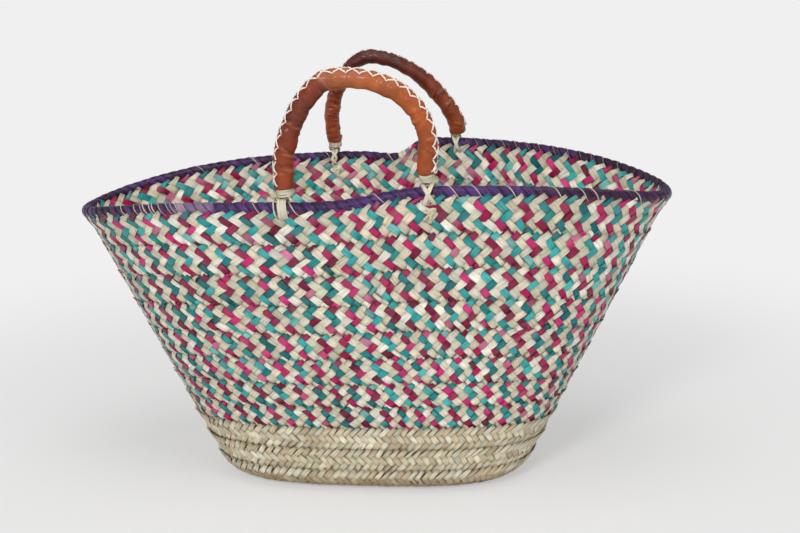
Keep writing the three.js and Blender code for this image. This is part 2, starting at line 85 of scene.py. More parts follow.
def unit(vectors: Array) -> Array:
    """Vectors divided by their lengths."""
    return vectors / np.maximum(np.linalg.norm(vectors, axis=-1, keepdims=True), 1e-12)


def smooth(value: Array, low: float, high: float) -> Array:
    """Smooth step: 0 below low, 1 above high, and 3t squared less 2t cubed between."""
    share = np.clip((value - low) / (high - low), 0.0, 1.0)
    return share * share * (3.0 - 2.0 * share)


def mix(one: Array, other: Array, share: Array) -> Array:
    """One set of values blended towards another by a share of 0 to 1."""
    return one + (other - one) * share


def arc_lengths(path: Array) -> Array:
    """Distance along a path of points, from 0 at its start."""
    steps = np.linalg.norm(np.diff(path, axis=0), axis=1)
    return np.concatenate([[0.0], np.cumsum(steps)])


# Meshes


class MeshPile:
    """Patches and tubes gathered into one mesh, each point with its dye and its lay.

    The dye is a linear colour. The lay is (millimetres along the strip, -1 to 1 across it, chance of 0 to 1).
    """

    def __init__(self) -> None:
        """Starts empty."""
        self.points: list[Array] = []
        self.dyes: list[Array] = []
        self.lays: list[Array] = []
        self.ridges: list[Array] = []
        self.faces: list[Array] = []
        self.count = 0

    def _add(self, points: Array, faces: list[Array], dye: Array, lay: Array, ridge: Array) -> None:
        """Adds points with their faces, indexed from 0, and says which points lie on sharp ridges."""
        flat = points.reshape(-1, 3)
        self.points.append(flat)
        self.ridges.append(np.broadcast_to(ridge, points.shape[:-1]).ravel())
        self.dyes.append(np.broadcast_to(dye, points.shape).reshape(-1, 3))
        self.lays.append(np.broadcast_to(lay, points.shape).reshape(-1, 3))
        self.faces.extend(face + self.count for face in faces)
        self.count += len(flat)

    def add_patches(self, points: Array, outward: Array, dye: Array, lay: Array,
                    ridge: Array = False) -> None:
        """Adds many like open patches, turned so that each faces outward.

        Args:
            points: places, shaped (patches, rows, columns, 3).
            outward: the way that each patch faces, shaped (patches, 3).
            dye: colours that fit the points' shape.
            lay: lays that fit the points' shape.
            ridge: which points lie on sharp ridges, fitting (patches, rows, columns).
        """
        patches, rows, columns, _ = points.shape
        grid = np.arange(rows * columns).reshape(rows, columns)
        quads = np.stack([grid[:-1, :-1], grid[1:, :-1], grid[1:, 1:], grid[:-1, 1:]], axis=-1).reshape(-1, 4)
        row, column = rows // 2, columns // 2
        down = points[:, row, column] - points[:, row - 1, column]
        side = points[:, row, column] - points[:, row, column - 1]
        turned = np.einsum("ij,ij->i", np.cross(down, side), outward) < 0
        every = quads[None] + (np.arange(patches) * rows * columns)[:, None, None]
        every = np.where(turned[:, None, None], every[:, :, ::-1], every)
        self._add(points, [every.reshape(-1, 4)], dye, lay, ridge)

    def add_tube(self, rings: Array, dye: Array, lay: Array, closed: bool = False) -> None:
        """Adds a tube of rings, a loop if closed or else with a cap at each end, turned to face outward.

        Args:
            rings: places, shaped (rings, sides, 3).
            dye: colours that fit the rings' shape.
            lay: lays that fit the rings' shape.
            closed: whether the last ring joins the first.
        """
        count, sides, _ = rings.shape
        grid = np.arange(count * sides).reshape(count, sides)
        near = grid if closed else grid[:-1]
        far = np.roll(grid, -1, axis=0) if closed else grid[1:]
        quads = np.stack([near, far, np.roll(far, -1, axis=1), np.roll(near, -1, axis=1)],
                         axis=-1).reshape(-1, 4)
        corners = rings.reshape(-1, 3)[quads]
        middle = rings.reshape(-1, 3).mean(axis=0)
        normals = np.cross(corners[:, 2] - corners[:, 0], corners[:, 3] - corners[:, 1])
        volume = np.einsum("ij,ij->", corners.mean(axis=1) - middle, normals)
        faces = [quads]
        if not closed:
            faces += [grid[:1], grid[-1:, ::-1]]
        if volume < 0:
            faces = [face[:, ::-1] for face in faces]
        self._add(rings, faces, dye, lay, False)

    def build(self, name: str) -> bpy.types.Object:
        """Makes the mesh object, in metres, with its dye and lay attributes.

        Args:
            name: the piece's name.

        Returns:
            The new object, linked into the scene.
        """
        points = np.concatenate(self.points) * MM
        corners = np.concatenate([face.ravel() for face in self.faces])
        sizes = np.concatenate([np.full(len(face), face.shape[1]) for face in self.faces])
        starts = np.concatenate([[0], np.cumsum(sizes)[:-1]])
        mesh = bpy.data.meshes.new(name)
        mesh.vertices.add(len(points))
        mesh.vertices.foreach_set("co", points.astype(np.float32).ravel())
        mesh.loops.add(len(corners))
        mesh.loops.foreach_set("vertex_index", corners.astype(np.int32))
        mesh.polygons.add(len(sizes))
        mesh.polygons.foreach_set("loop_start", starts.astype(np.int32))
        mesh.polygons.foreach_set("use_smooth", np.ones(len(sizes), dtype=bool))
        mesh.update(calc_edges=True)
        dye = mesh.attributes.new("dye", "FLOAT_COLOR", "POINT")
        colours = np.ones((len(points), 4), dtype=np.float32)
        colours[:, :3] = np.concatenate(self.dyes)
        dye.data.foreach_set("color", colours.ravel())
        lay = mesh.attributes.new("lay", "FLOAT_VECTOR", "POINT")
        lay.data.foreach_set("vector", np.concatenate(self.lays).astype(np.float32).ravel())
        ridge = np.concatenate(self.ridges)
        if ridge.any():
            ends = np.empty(len(mesh.edges) * 2, dtype=np.int32)
            mesh.edges.foreach_get("vertices", ends)
            sharp = mesh.attributes.new("sharp_edge", "BOOLEAN", "EDGE")
            sharp.data.foreach_set("value", ridge[ends.reshape(-1, 2)].all(axis=1))
        piece = bpy.data.objects.new(name, mesh)
        bpy.context.scene.collection.objects.link(piece)
        return piece


def strip_rings(path: Array, outward: Array, half_width: Array, half_thick: Array, sides: int = 8,
                squareness: float = 0.6, closed: bool = False) -> Array:
    """Rings of a strip or strand along a path.

    Each ring is the path's point, plus the sideways direction times the half width times the cosine,
    plus the outward direction times the half thickness times the sine, both to the power squareness.

    Args:
        path: points, shaped (n, 3).
        outward: the way that the strip's flat side faces at each point.
        half_width: half widths, one or n.
        half_thick: half thicknesses, one or n.
        sides: points round the strip.
        squareness: 1 for an oval, less for a flatter, squarer strip.
        closed: whether the path is a loop.

    Returns:
        Places shaped (n, sides, 3).
    """
    if closed:
        tangent = unit(np.roll(path, -1, axis=0) - np.roll(path, 1, axis=0))
    else:
        tangent = unit(np.gradient(path, axis=0))
    sideways = unit(np.cross(outward, tangent))
    out = unit(np.cross(tangent, sideways))
    turn = (np.arange(sides) + 0.5) / sides * TAU
    across = np.sign(np.cos(turn)) * np.abs(np.cos(turn)) ** squareness
    up = np.sign(np.sin(turn)) * np.abs(np.sin(turn)) ** squareness
    width = np.broadcast_to(half_width, len(path))[:, None, None]
    thick = np.broadcast_to(half_thick, len(path))[:, None, None]
    aside = sideways[:, None] * across[None, :, None] * width
    raised = out[:, None] * up[None, :, None] * thick
    return path[:, None] + aside + raised


def round_rings(path: Array, one: Array, other: Array, radius: Array, turn: Array) -> Array:
    """Rings round a path: the radius times the cosine of the turn one way, and the sine the other way."""
    aside = one[:, None] * (radius * np.cos(turn))[..., None]
    return path[:, None] + aside + other[:, None] * (radius * np.sin(turn))[..., None]


def strip_lay(path: Array, sides: int, chance: float) -> Array:
    """Lay of a strip's rings: length along it, the cosine round it, and its own chance."""
    turn = (np.arange(sides) + 0.5) / sides * TAU
    lay = np.zeros((len(path), sides, 3))
    lay[..., 0] = arc_lengths(path)[:, None] + 300.0 * chance
    lay[..., 1] = np.cos(turn)[None]
    lay[..., 2] = chance
    return lay


# Finishes


class Shade:
    """A shader socket that sums are written with: each operator adds its Math node."""

    def __init__(self, sheet: "NodeSheet", socket: bpy.types.NodeSocket) -> None:
        """Wraps one output socket of a sheet's nodes."""
        self.sheet = sheet
        self.socket = socket

    def _math(self, operation: str, *values: "Value") -> "Shade":
        """One Math node on the values given."""
        return self.sheet.node("ShaderNodeMath", {"operation": operation}, dict(enumerate(values)))

    def __add__(self, other: "Value") -> "Shade":
        """Sum."""
        return self._math("ADD", self, other)

    def __sub__(self, other: "Value") -> "Shade":
        """Difference."""
        return self._math("SUBTRACT", self, other)

    def __rsub__(self, other: "Value") -> "Shade":
        """Difference from a number."""
        return self._math("SUBTRACT", other, self)

    def __mul__(self, other: "Value") -> "Shade":
        """Product."""
        return self._math("MULTIPLY", self, other)

    def __abs__(self) -> "Shade":
        """Size without its sign."""
        return self._math("ABSOLUTE", self)

    __radd__ = __add__
    __rmul__ = __mul__

    def sine(self) -> "Shade":
        """Sine of the value in radians."""
        return self._math("SINE", self)

    def step(self, low: float, high: float) -> "Shade":
        """Smooth step from 0 at low to 1 at high."""
        settings = {"interpolation_type": "SMOOTHSTEP", "clamp": True}
        return self.sheet.node("ShaderNodeMapRange", settings,
                               {"Value": self, "From Min": low, "From Max": high})


Value = Union[Shade, float]


class NodeSheet:
    """A node tree, and short ways to add nodes to it."""

    def __init__(self, tree: bpy.types.NodeTree) -> None:
        """Keeps the tree."""
        self.tree = tree

    def feed(self, socket: bpy.types.NodeSocket, value: object) -> None:
        """Links a shade to a socket, or sets a plain value on it."""
        if isinstance(value, Shade):
            self.tree.links.new(value.socket, socket)
        elif isinstance(value, np.ndarray) and socket.type == "RGBA":
            socket.default_value = (*(float(v) for v in value), 1.0)
        else:
            socket.default_value = value

    def node(self, kind: str, settings: dict, values: dict, output: Union[int, str] = 0) -> Shade:
        """Adds a node.

        Args:
            kind: the node's type.
            settings: its own settings, set first.
            values: values or links of its sockets, by name or number.
            output: which output is wanted.

        Returns:
            The output's shade.
        """
        node = self.tree.nodes.new(kind)
        for key, setting in settings.items():
            setattr(node, key, setting)
        for key, value in values.items():
            self.feed(node.inputs[key], value)
        return Shade(self, node.outputs[output])

    def blend(self, factor: Value, one: object, other: object) -> Shade:
        """Mixes two colours by a factor."""
        settings = {"data_type": "RGBA", "blend_type": "MIX", "clamp_factor": True}
        return self.node("ShaderNodeMix", settings, {0: factor, 6: one, 7: other}, 2)

    def scaled(self, colour: Shade, factor: Value) -> Shade:
        """A colour or vector times a number."""
        return self.node("ShaderNodeVectorMath", {"operation": "SCALE"}, {0: colour, "Scale": factor}, 0)

    def attribute(self, name: str, output: str) -> Shade:
        """One output of the piece's own attribute."""
        return self.node("ShaderNodeAttribute", {"attribute_name": name}, {}, output)

    def parts(self, vector: Shade) -> tuple[Shade, Shade, Shade]:
        """The three numbers of a vector."""
        first = self.node("ShaderNodeSeparateXYZ", {}, {0: vector}, 0)
        node = first.socket.node
        return first, Shade(self, node.outputs[1]), Shade(self, node.outputs[2])

    def vector(self, x: Value, y: Value, z: Value) -> Shade:
        """A vector of three numbers."""
        return self.node("ShaderNodeCombineXYZ", {}, {0: x, 1: y, 2: z})

    def noise(self, where: Shade, scale: float, detail: float = 2.0, roughness: float = 0.55) -> Shade:
        """Noise of 0 to 1 at a place."""
        values = {"Vector": where, "Scale": scale, "Detail": detail, "Roughness": roughness}
        return self.node("ShaderNodeTexNoise", {}, values, 0)

    def seen(self) -> Shade:
        """1 for rays from the camera, mirrored or seen through, and 0 for rays that light other things."""
        camera, glossy, passed = (self.node("ShaderNodeLightPath", {}, {}, f"Is {kind} Ray")
                                  for kind in ("Camera", "Glossy", "Transmission"))
        return camera + glossy + passed


class Recipe(NodeSheet):
    """The nodes of one material, round one Principled shader."""

    def __init__(self, name: str) -> None:
        """Makes the material with its shader and output."""
        self.material = bpy.data.materials.new(name)
        self.material.use_nodes = True
        super().__init__(self.material.node_tree)
        self.tree.nodes.clear()
        self.output = self.tree.nodes.new("ShaderNodeOutputMaterial")
        self.shader = self.tree.nodes.new("ShaderNodeBsdfPrincipled")
        self.tree.links.new(self.shader.outputs["BSDF"], self.output.inputs["Surface"])

    def bump(self, height: Shade, distance: float) -> Shade:
        """A bumped normal from a height."""
        return self.node("ShaderNodeBump", {}, {"Height": height, "Distance": distance, "Strength": 1.0})

    def glow(self, colour: Array, factor: Value) -> None:
        """Mixes an even emission into the surface by a factor."""
        light = self.node("ShaderNodeEmission", {}, {"Color": colour, "Strength": 1.0})
        mixed = self.node("ShaderNodeMixShader", {},
                          {0: factor, 1: Shade(self, self.shader.outputs[0]), 2: light})
        self.tree.links.new(mixed.socket, self.output.inputs["Surface"])

    def set(self, **values: object) -> None:
        """Sets or links sockets of the shader, with _ for a space in a name."""
        for key, value in values.items():
            self.feed(self.shader.inputs[key.replace("_", " ")], value)


@dataclass(frozen=True)
class StripFinish:
    """Dried leaf strip with fibres along it and a crease where two leaflets meet, darkened at its edges and
    along the crease as painted shade; the piece gives the dye.
    """

    name: str
    fibre_contrast: float = 0.34
    stain: tuple[float, float, float] = (150, 120, 70)
    stain_share: float = 0.28
    roughness: float = 0.5
    ridge_depth: float = 0.00035
    ribs: float = 5.0
    # painted shade: how much darker the strip is at its edges and along its crease
    edge_dark: float = 0.12
    crease_dark: float = 0.3
    shine: float = 0.3

    def material(self) -> bpy.types.Material:
        """Builds the nodes: dye times fibre streaks and painted shade at the edges and along the crease,
        stained in blotches, with the fibres as a bump.

        The crease is a thin line along the strip, at a place across it that goes by the strip's chance.
        """
        recipe = Recipe(self.name)
        dye = recipe.attribute("dye", "Color")
        along, across, chance = recipe.parts(recipe.attribute("lay", "Vector"))
        where = recipe.vector(along * 0.07, across * self.ribs + chance * 31.0, chance * 17.0)
        fibre = recipe.noise(where, 1.0, 2.0, 0.6).step(0.32, 0.68)
        fine_where = recipe.vector(along * 0.2, across * (self.ribs * 3.2), chance * 53.0)
        fine = recipe.noise(fine_where, 1.0, 2.0).step(0.3, 0.7)
        blotch = recipe.noise(recipe.vector(along * 0.16, across * 0.7, chance * 91.0), 1.0, 3.0)
        wander = recipe.noise(recipe.vector(along * 0.1, chance * 71.0, 0.5), 1.0, 1.0) * 0.3 - 0.15
        creased = (chance * 61.0).sine().step(-0.2, 0.7)
        crease = (1.0 - abs(across - (chance * 1.7 - 0.85) + wander).step(0.02, 0.12)) * creased
        # painted shade at the edges, where strips overlap, and in the crease between leaflets
        edge = abs(across).step(0.68, 1.0) * self.edge_dark
        shade = (1.0 - edge) * (1.0 - crease * self.crease_dark)
        light = (1.0 - self.fibre_contrast * 0.5 + fibre * self.fibre_contrast) * (0.92 + fine * 0.16) * shade
        stained = recipe.blend(blotch.step(0.52, 0.8) * self.stain_share, dye, linear(*self.stain))
        recipe.set(
            Base_Color=recipe.scaled(stained, light),
            Roughness=self.roughness - 0.05 + fibre * 0.12,
            Normal=recipe.bump(fibre * 0.6 + fine * 0.25 - crease * 0.5, self.ridge_depth),
            Specular_IOR_Level=self.shine,
        )
        return recipe.material


@dataclass(frozen=True)
class LeatherFinish:
    """Waxed leather: two tones by the piece's dye, a pebbled grain, creases and dips darker as painted shade,
    and ridges lighter from rubbing and painted highlight.
    """

    name: str
    roughness: float = 0.36
    mottle_scale: float = 70.0
    cloud_scale: float = 24.0
    pore_scale: float = 780.0
    grain_scale: float = 520.0
    grain_depth: float = 0.00034
    # ridge colour: rubbed wear and painted highlight; crease colour: painted shade
    worn_tone: tuple[float, float, float] = (220, 150, 100)
    deep_tone: tuple[float, float, float] = (58, 24, 12)
    shine: float = 0.38
    coat: float = 0.14
    coat_roughness: float = 0.18

    def material(self) -> bpy.types.Material:
        """Builds the nodes: dye mottled by two noises, grain from cells, crease in the lay's second value."""
        recipe = Recipe(self.name)
        dye = recipe.attribute("dye", "Color")
        _, crease, _ = recipe.parts(recipe.attribute("lay", "Vector"))
        place = recipe.node("ShaderNodeTexCoord", {}, {}, "Object")
        mottle = recipe.noise(place, self.mottle_scale, 4.0, 0.6)
        cloud = recipe.noise(place, self.cloud_scale, 2.0, 0.5)
        pores = recipe.node("ShaderNodeTexVoronoi", {"feature": "DISTANCE_TO_EDGE"},
                            {"Vector": place, "Scale": self.pore_scale})
        grain = recipe.noise(place, self.grain_scale, 3.0, 0.6)
        light = 0.7 + mottle.step(0.36, 0.66) * 0.34 + cloud.step(0.36, 0.64) * 0.28
        dark = recipe.scaled(dye, light)
        # ridges lighter, partly rubbed wear and partly painted highlight
        wear_and_highlight = recipe.blend(crease.step(0.25, 1.0) * 0.2, dark, linear(*self.worn_tone))
        # creases, dips and the seam's groove darker: painted shade
        deep = recipe.blend((crease * -1.0).step(0.1, 0.9) * 0.55, wear_and_highlight, linear(*self.deep_tone))
        height = pores.step(0.0, 0.3) * 0.35 + grain * 0.65
        recipe.set(
            Base_Color=deep,
            Roughness=self.roughness + mottle * 0.16 - crease.step(0.2, 1.0) * 0.08,
            Normal=recipe.bump(height, self.grain_depth),
            Specular_IOR_Level=self.shine,
            Coat_Weight=self.coat,
            Coat_Roughness=self.coat_roughness,
        )
        return recipe.material


@dataclass(frozen=True)
class ThreadFinish:
    """Twisted thread: slanting plies from the length along it and the angle round it."""

    name: str
    plies: float = 2.0
    lay_length: float = 2.4
    roughness: float = 0.6
    ply_depth: float = 0.00022

    def material(self) -> bpy.types.Material:
        """Builds the nodes: a sine over length and angle gives the plies' shade and bump."""
        recipe = Recipe(self.name)
        dye = recipe.attribute("dye", "Color")
        along, across, chance = recipe.parts(recipe.attribute("lay", "Vector"))
        ply = (along * (TAU / self.lay_length) + across * (math.pi * self.plies * 0.5)).sine()
        fuzz = recipe.noise(recipe.vector(along * 1.3, across * 3.0, chance * 29.0), 1.0, 3.0)
        light = 0.86 + ply * 0.1 + fuzz * 0.12
        recipe.set(
            Base_Color=recipe.scaled(dye, light),
            Roughness=self.roughness + fuzz * 0.2,
            Normal=recipe.bump(ply * 0.6 + fuzz * 0.5, self.ply_depth),
        )
        return recipe.material


class Finishes:
    """The basket's materials, each made once."""

    def __init__(self) -> None:
        """Builds every finish."""
        self.coloured = StripFinish("dyed_palm_strip", fibre_contrast=0.27, stain=(170, 146, 104),
                                    stain_share=0.1, roughness=0.33, ribs=2.7, shine=0.26).material()
        self.natural = StripFinish("undyed_palm_strip", fibre_contrast=0.26, stain=(146, 118, 78),
                                   stain_share=0.3, roughness=0.42, ridge_depth=0.0004,
                                   ribs=2.6).material()
        # the raffia's darkened wrap edges are painted shade in the grooves between wraps
        self.raffia = StripFinish("purple_raffia_whipping", fibre_contrast=0.55, stain=(92, 62, 104),
                                  stain_share=0.25, roughness=0.26, ridge_depth=0.0006, ribs=5.0,
                                  edge_dark=0.72, shine=0.42).material()
        self.lashing = StripFinish("pale_palm_lashing", fibre_contrast=0.26, stain=(176, 152, 100),
                                   stain_share=0.3, roughness=0.42, ribs=3.2,
                                   edge_dark=0.3).material()
        self.core = StripFinish("palm_rope_core", fibre_contrast=0.4, stain=(140, 112, 66), stain_share=0.5,
                                roughness=0.7, ridge_depth=0.0006, ribs=6.0, edge_dark=0.0).material()
        self.twine = ThreadFinish("palm_twine", plies=2.0, lay_length=5.0, roughness=0.75).material()
        self.thread = ThreadFinish("white_lacing_thread", plies=2.0, lay_length=1.8,
                                   roughness=0.55).material()
        self.tan_leather = LeatherFinish("tan_leather_sleeve").material()
        self.brown_leather = LeatherFinish("brown_leather_sleeve", roughness=0.32).material()


def settle(piece: bpy.types.Object, material: bpy.types.Material, body: str,
           nodes: tuple[str, ...] = ()) -> None:
    """Gives a piece its material, body and the CAD nodes that it stands for.

    Args:
        piece: the piece.
        material: its finish.
        body: the CAD body that it moves with.
        nodes: CAD nodes that it replaces.
    """
    piece.data.materials.append(material)
    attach(piece, body)
    if nodes:
        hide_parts(*nodes)
    LOG.info("%s: %d faces on %s", piece.name, len(piece.data.polygons), body)


# The basket's form


@dataclass(frozen=True)
class WallForm:
    """The flared wall's outer face, worked out as the CAD part does, but with a sharper step at the back."""

    rim_half_length: float = 292.0
    rim_half_width: float = 140.0
    rim_exponent: float = 2.05
    floor_half_length: float = 151.5
    floor_half_width: float = 100.0
    floor_exponent: float = 3.1
    turn_under: float = 18.0
    thickness: float = 4.0
    coloured_rows: int = 8
    top_row_height: float = 34.5
    low_row_height: float = 22.5
    natural_rows: int = 3
    natural_row_height: float = 23.4
    end_droop: float = 28.0
    step_height: float = 15.5
    step_place: float = 20.0
    step_length: float = 18.0
    back_step_place: float = 30.0
    back_step_length: float = 6.0
    back_dip: float = 2.8
    back_blend: float = 60.0
    dip_place: float = 4.0
    dip_length: float = 20.0
    core_rise: float = 3.5

    ANGLE_STEP = 2e-3
    HEIGHT_STEP = 0.01

    @property
    def row_heights(self) -> Array:
        """Heights of the rows, from the floor up."""
        coloured = np.linspace(self.low_row_height, self.top_row_height, self.coloured_rows)
        return np.concatenate([np.full(self.natural_rows, self.natural_row_height), coloured])

    @property
    def height(self) -> float:
        """Height of the wall's top edge before droop and step."""
        return float(self.row_heights.sum())

    def point(self, height: Array, angle: Array) -> Array:
        """Outer face: a superellipse whose half axes and power go from floor to rim with height.

        The foot is drawn in along a quarter circle, the ends droop by the cosine cubed, and the
        right half steps up along a logistic curve, after a dip at the back.

        Args:
            height: heights above the floor.
            angle: angles round the basket, anticlockwise from +X.

        Returns:
            Places shaped as the inputs, with a last axis of 3.
        """
        share = height / self.height
        rest = np.clip(self.turn_under - height, 0.0, self.turn_under)
        drawn_in = self.turn_under - np.sqrt(self.turn_under**2 - rest**2)
        inset = np.where(height < self.turn_under, drawn_in, 0.0)
        half_length = mix(self.floor_half_length, self.rim_half_length, share) - inset
        half_width = mix(self.floor_half_width, self.rim_half_width, share) - inset
        power = 2.0 / mix(self.floor_exponent, self.rim_exponent, share)
        cosine, sine = np.cos(angle), np.sin(angle)
        x = half_length * np.sign(cosine) * np.abs(cosine) ** power
        y = half_width * np.sign(sine) * np.abs(sine) ** power
        droop = self.end_droop * share * np.abs(cosine) ** 3
        back = smooth(y, 0.0, self.back_blend)
        place = mix(self.step_place, self.back_step_place, back)
        run = (x - place) / mix(self.step_length, self.back_step_length, back)
        step = self.step_height * (1.0 / (1.0 + np.exp(-np.clip(run, -40.0, 40.0))) - 0.5)
        dip = self.back_dip * back * np.exp(-(((x - self.dip_place) / self.dip_length) ** 2))
        return np.stack([x, y, height - droop + (step - dip) * share**2], axis=-1)

    def frame(self, height: Array, angle: Array) -> tuple[Array, Array, Array]:
        """The face's point, outward normal and upward direction, from differences of the surface."""
        here = self.point(height, angle)
        turned, step = self.ANGLE_STEP, self.HEIGHT_STEP
        along = unit(self.point(height, angle + turned) - self.point(height, angle - turned))
        low = self.point(np.maximum(height - step, 0.0), angle)
        high = self.point(np.maximum(height, 0.0) + step, angle)
        normal = unit(np.cross(along, high - low))
        return here, normal, unit(np.cross(normal, along))

    def rim(self, angle: Array) -> tuple[Array, Array, Array]:
        """The rim core's centre, with the wall's outward normal and upward direction there."""
        point, normal, up = self.frame(np.full(np.shape(angle), self.height), angle)
        return point - normal * self.thickness / 2 + up * self.core_rise, normal, up


def length_shares(ring: Array) -> tuple[Array, float]:
    """Shares of a closed ring's length at each of its points, and its whole length."""
    lengths = arc_lengths(ring)
    return lengths / lengths[-1], float(lengths[-1])


class Slant(Enum):
    """Which way a float leans, seen from outside the basket."""

    FALLING = 1
    RISING = -1

    @property
    def other(self) -> "Slant":
        """The crossing slant."""
        return Slant.RISING if self is Slant.FALLING else Slant.FALLING


class Face(Enum):
    """Side of the plait."""

    OUTER = 1
    INNER = -1


@dataclass(frozen=True)
class FloatRow:
    """One line of floats in a plait: slant outside, first cell row, cells covered, tips' reach and width."""

    slant: Slant
    first: int
    cells: int
    tooth: float = 0.0
    point: float = 1.0


COLOURED_ROWS = (
    FloatRow(Slant.RISING, 0, 1, 0.4, 0.8),
    FloatRow(Slant.FALLING, 1, 2),
    FloatRow(Slant.RISING, 3, 2),
    FloatRow(Slant.FALLING, 5, 2),
    FloatRow(Slant.RISING, 7, 1),
)
TOP_ROWS = (FloatRow(Slant.RISING, 0, 1, 0.66, 0.62),) + COLOURED_ROWS[1:]
NATURAL_ROWS = (
    FloatRow(Slant.RISING, 0, 2, 0.45, 0.85),
    FloatRow(Slant.FALLING, 2, 2),
    FloatRow(Slant.RISING, 4, 2),
)
FOOT_ROWS = NATURAL_ROWS + (FloatRow(Slant.FALLING, 6, 2),)
CENTRE_ROWS = (FloatRow(Slant.RISING, 0, 2), FloatRow(Slant.FALLING, 2, 1))


class BandSurface:
    """A closed band that a plait lies on; share runs round it, and level from 0 at the top to 1 below."""

    SAMPLES = 7201
    SINK = 1.15
    INNER_SIDE = -2.0
    LOWEST = 0.02
    length: float
    width: float

    def _measure(self, ring: Array, angle: Array) -> None:
        """Keeps the table from share of the length to angle."""
        self.angles = angle
        self.shares, self.length = length_shares(ring)

    def angle(self, share: Array) -> Array:
        """Angle at a share of the way round, which may run past one turn."""
        turns = np.floor(share)
        return np.interp(share - turns, self.shares, self.angles) + turns * TAU

    def frame(self, share: Array, level: Array) -> tuple[Array, Array]:
        """Place on the outer face and outward normal."""
        raise NotImplementedError

    def place(self, share: Array, level: Array, lift: Array) -> tuple[Array, Array]:
        """Place raised by a lift along the normal; what faces down is let in, so nothing is below the floor.

        Args:
            share: share of the way round.
            level: 0 at the top edge to 1 at the bottom edge.
            lift: distance outward from the outer face.

        Returns:
            Places and normals.
        """
        point, normal = self.frame(share, level)
        sunk = lift - self.SINK * np.clip(-normal[..., 2], 0.0, 1.0) * (lift > self.INNER_SIDE)
        raised = point + normal * sunk[..., None]
        raised[..., 2] = np.maximum(raised[..., 2], self.LOWEST)
        return raised, normal


class WallBand(BandSurface):
    """One row of the wall, between two heights; the lowest runs on along the turned-under foot."""

    def __init__(self, form: WallForm, low: float, high: float) -> None:
        """Measures the ring at the row's middle."""
        self.form, self.low, self.high = form, low, high
        self.quarter = form.turn_under * math.pi / 2
        self.width = high - low if low > 0.0 else self.quarter + high - form.turn_under
        angle = np.linspace(0.0, TAU, self.SAMPLES)
        self._measure(form.point(np.full_like(angle, (low + high) / 2), angle), angle)

    def height(self, level: Array) -> Array:
        """Height at a level: even between the edges, or by arc length round the foot."""
        if self.low > 0.0:
            return self.high + (self.low - self.high) * level
        whole = self.quarter + self.high - self.form.turn_under
        arc = np.maximum(whole * (1.0 - level), 0.0)
        bend = self.form.turn_under * (1.0 - np.cos(np.minimum(arc, self.quarter) / self.form.turn_under))
        return np.where(arc < self.quarter, bend, self.form.turn_under + arc - self.quarter)

    def frame(self, share: Array, level: Array) -> tuple[Array, Array]:
        """Place on the wall's outer face and its normal."""
        share, level = np.broadcast_arrays(share, level)
        point, normal, _ = self.form.frame(self.height(level), self.angle(share))
        return point, normal


class FloorRing(BandSurface):
    """One turn of the floor's plait, between two insets from the wall's foot; its outer face looks down."""

    def __init__(self, form: WallForm, outer: float, inner: float) -> None:
        """Measures the ring at the turn's middle."""
        self.form, self.outer, self.inner = form, outer, inner
        self.width = inner - outer
        angle = np.linspace(0.0, TAU, self.SAMPLES)
        self._measure(self._outline((outer + inner) / 2, angle), angle)

    def _outline(self, inset: Array, angle: Array) -> Array:
        """The foot's outline with each half axis less the inset."""
        foot = self.form.point(np.zeros(np.shape(angle)), angle)
        half_length = self.form.floor_half_length - self.form.turn_under
        half_width = self.form.floor_half_width - self.form.turn_under
        x = foot[..., 0] * (half_length - inset) / half_length
        y = foot[..., 1] * (half_width - inset) / half_width
        return np.stack([x, y, np.zeros(np.shape(x))], axis=-1)

    def frame(self, share: Array, level: Array) -> tuple[Array, Array]:
        """Place on the underside, and straight down."""
        share, level = np.broadcast_arrays(share, level)
        inset = self.outer + (self.inner - self.outer) * np.clip(level, -0.04, 1.0)
        point = self._outline(inset, self.angle(share))
        return point, np.broadcast_to(np.array([0.0, 0.0, -1.0]), point.shape).copy()


# Plait


class Dye(Enum):
    """Colours of the strips, each a list of like shades and the pale shade that it fades to."""

    CREAM = (((226, 219, 200), (214, 206, 182), (236, 231, 216), (222, 208, 186), (206, 203, 180)),
             (194, 178, 146))
    TEAL = (((30, 142, 140), (14, 100, 106), (58, 172, 170), (18, 120, 124), (40, 154, 156)), (142, 202, 196))
    MAGENTA = (((176, 14, 84), (138, 6, 60), (200, 34, 110), (158, 10, 72), (112, 8, 48)), (214, 140, 166))
    NATURAL = (((228, 218, 190), (218, 206, 176), (236, 229, 204), (208, 192, 160), (216, 211, 182)),
               (196, 160, 126))
    # SHADOW is no strip's colour but the plait core's: painted shade seen in the gaps between floats
    SHADOW = (((132, 118, 94), (150, 132, 98)), (60, 48, 30))

    @property
    def shades(self) -> Array:
        """The like shades, as linear colours."""
        return np.array([linear(*shade) for shade in self.value[0]])

    @property
    def faded(self) -> Array:
        """The colour that it fades to."""
        return linear(*self.value[1])


SEQUENCE = (Dye.MAGENTA, Dye.CREAM, Dye.TEAL, Dye.CREAM)


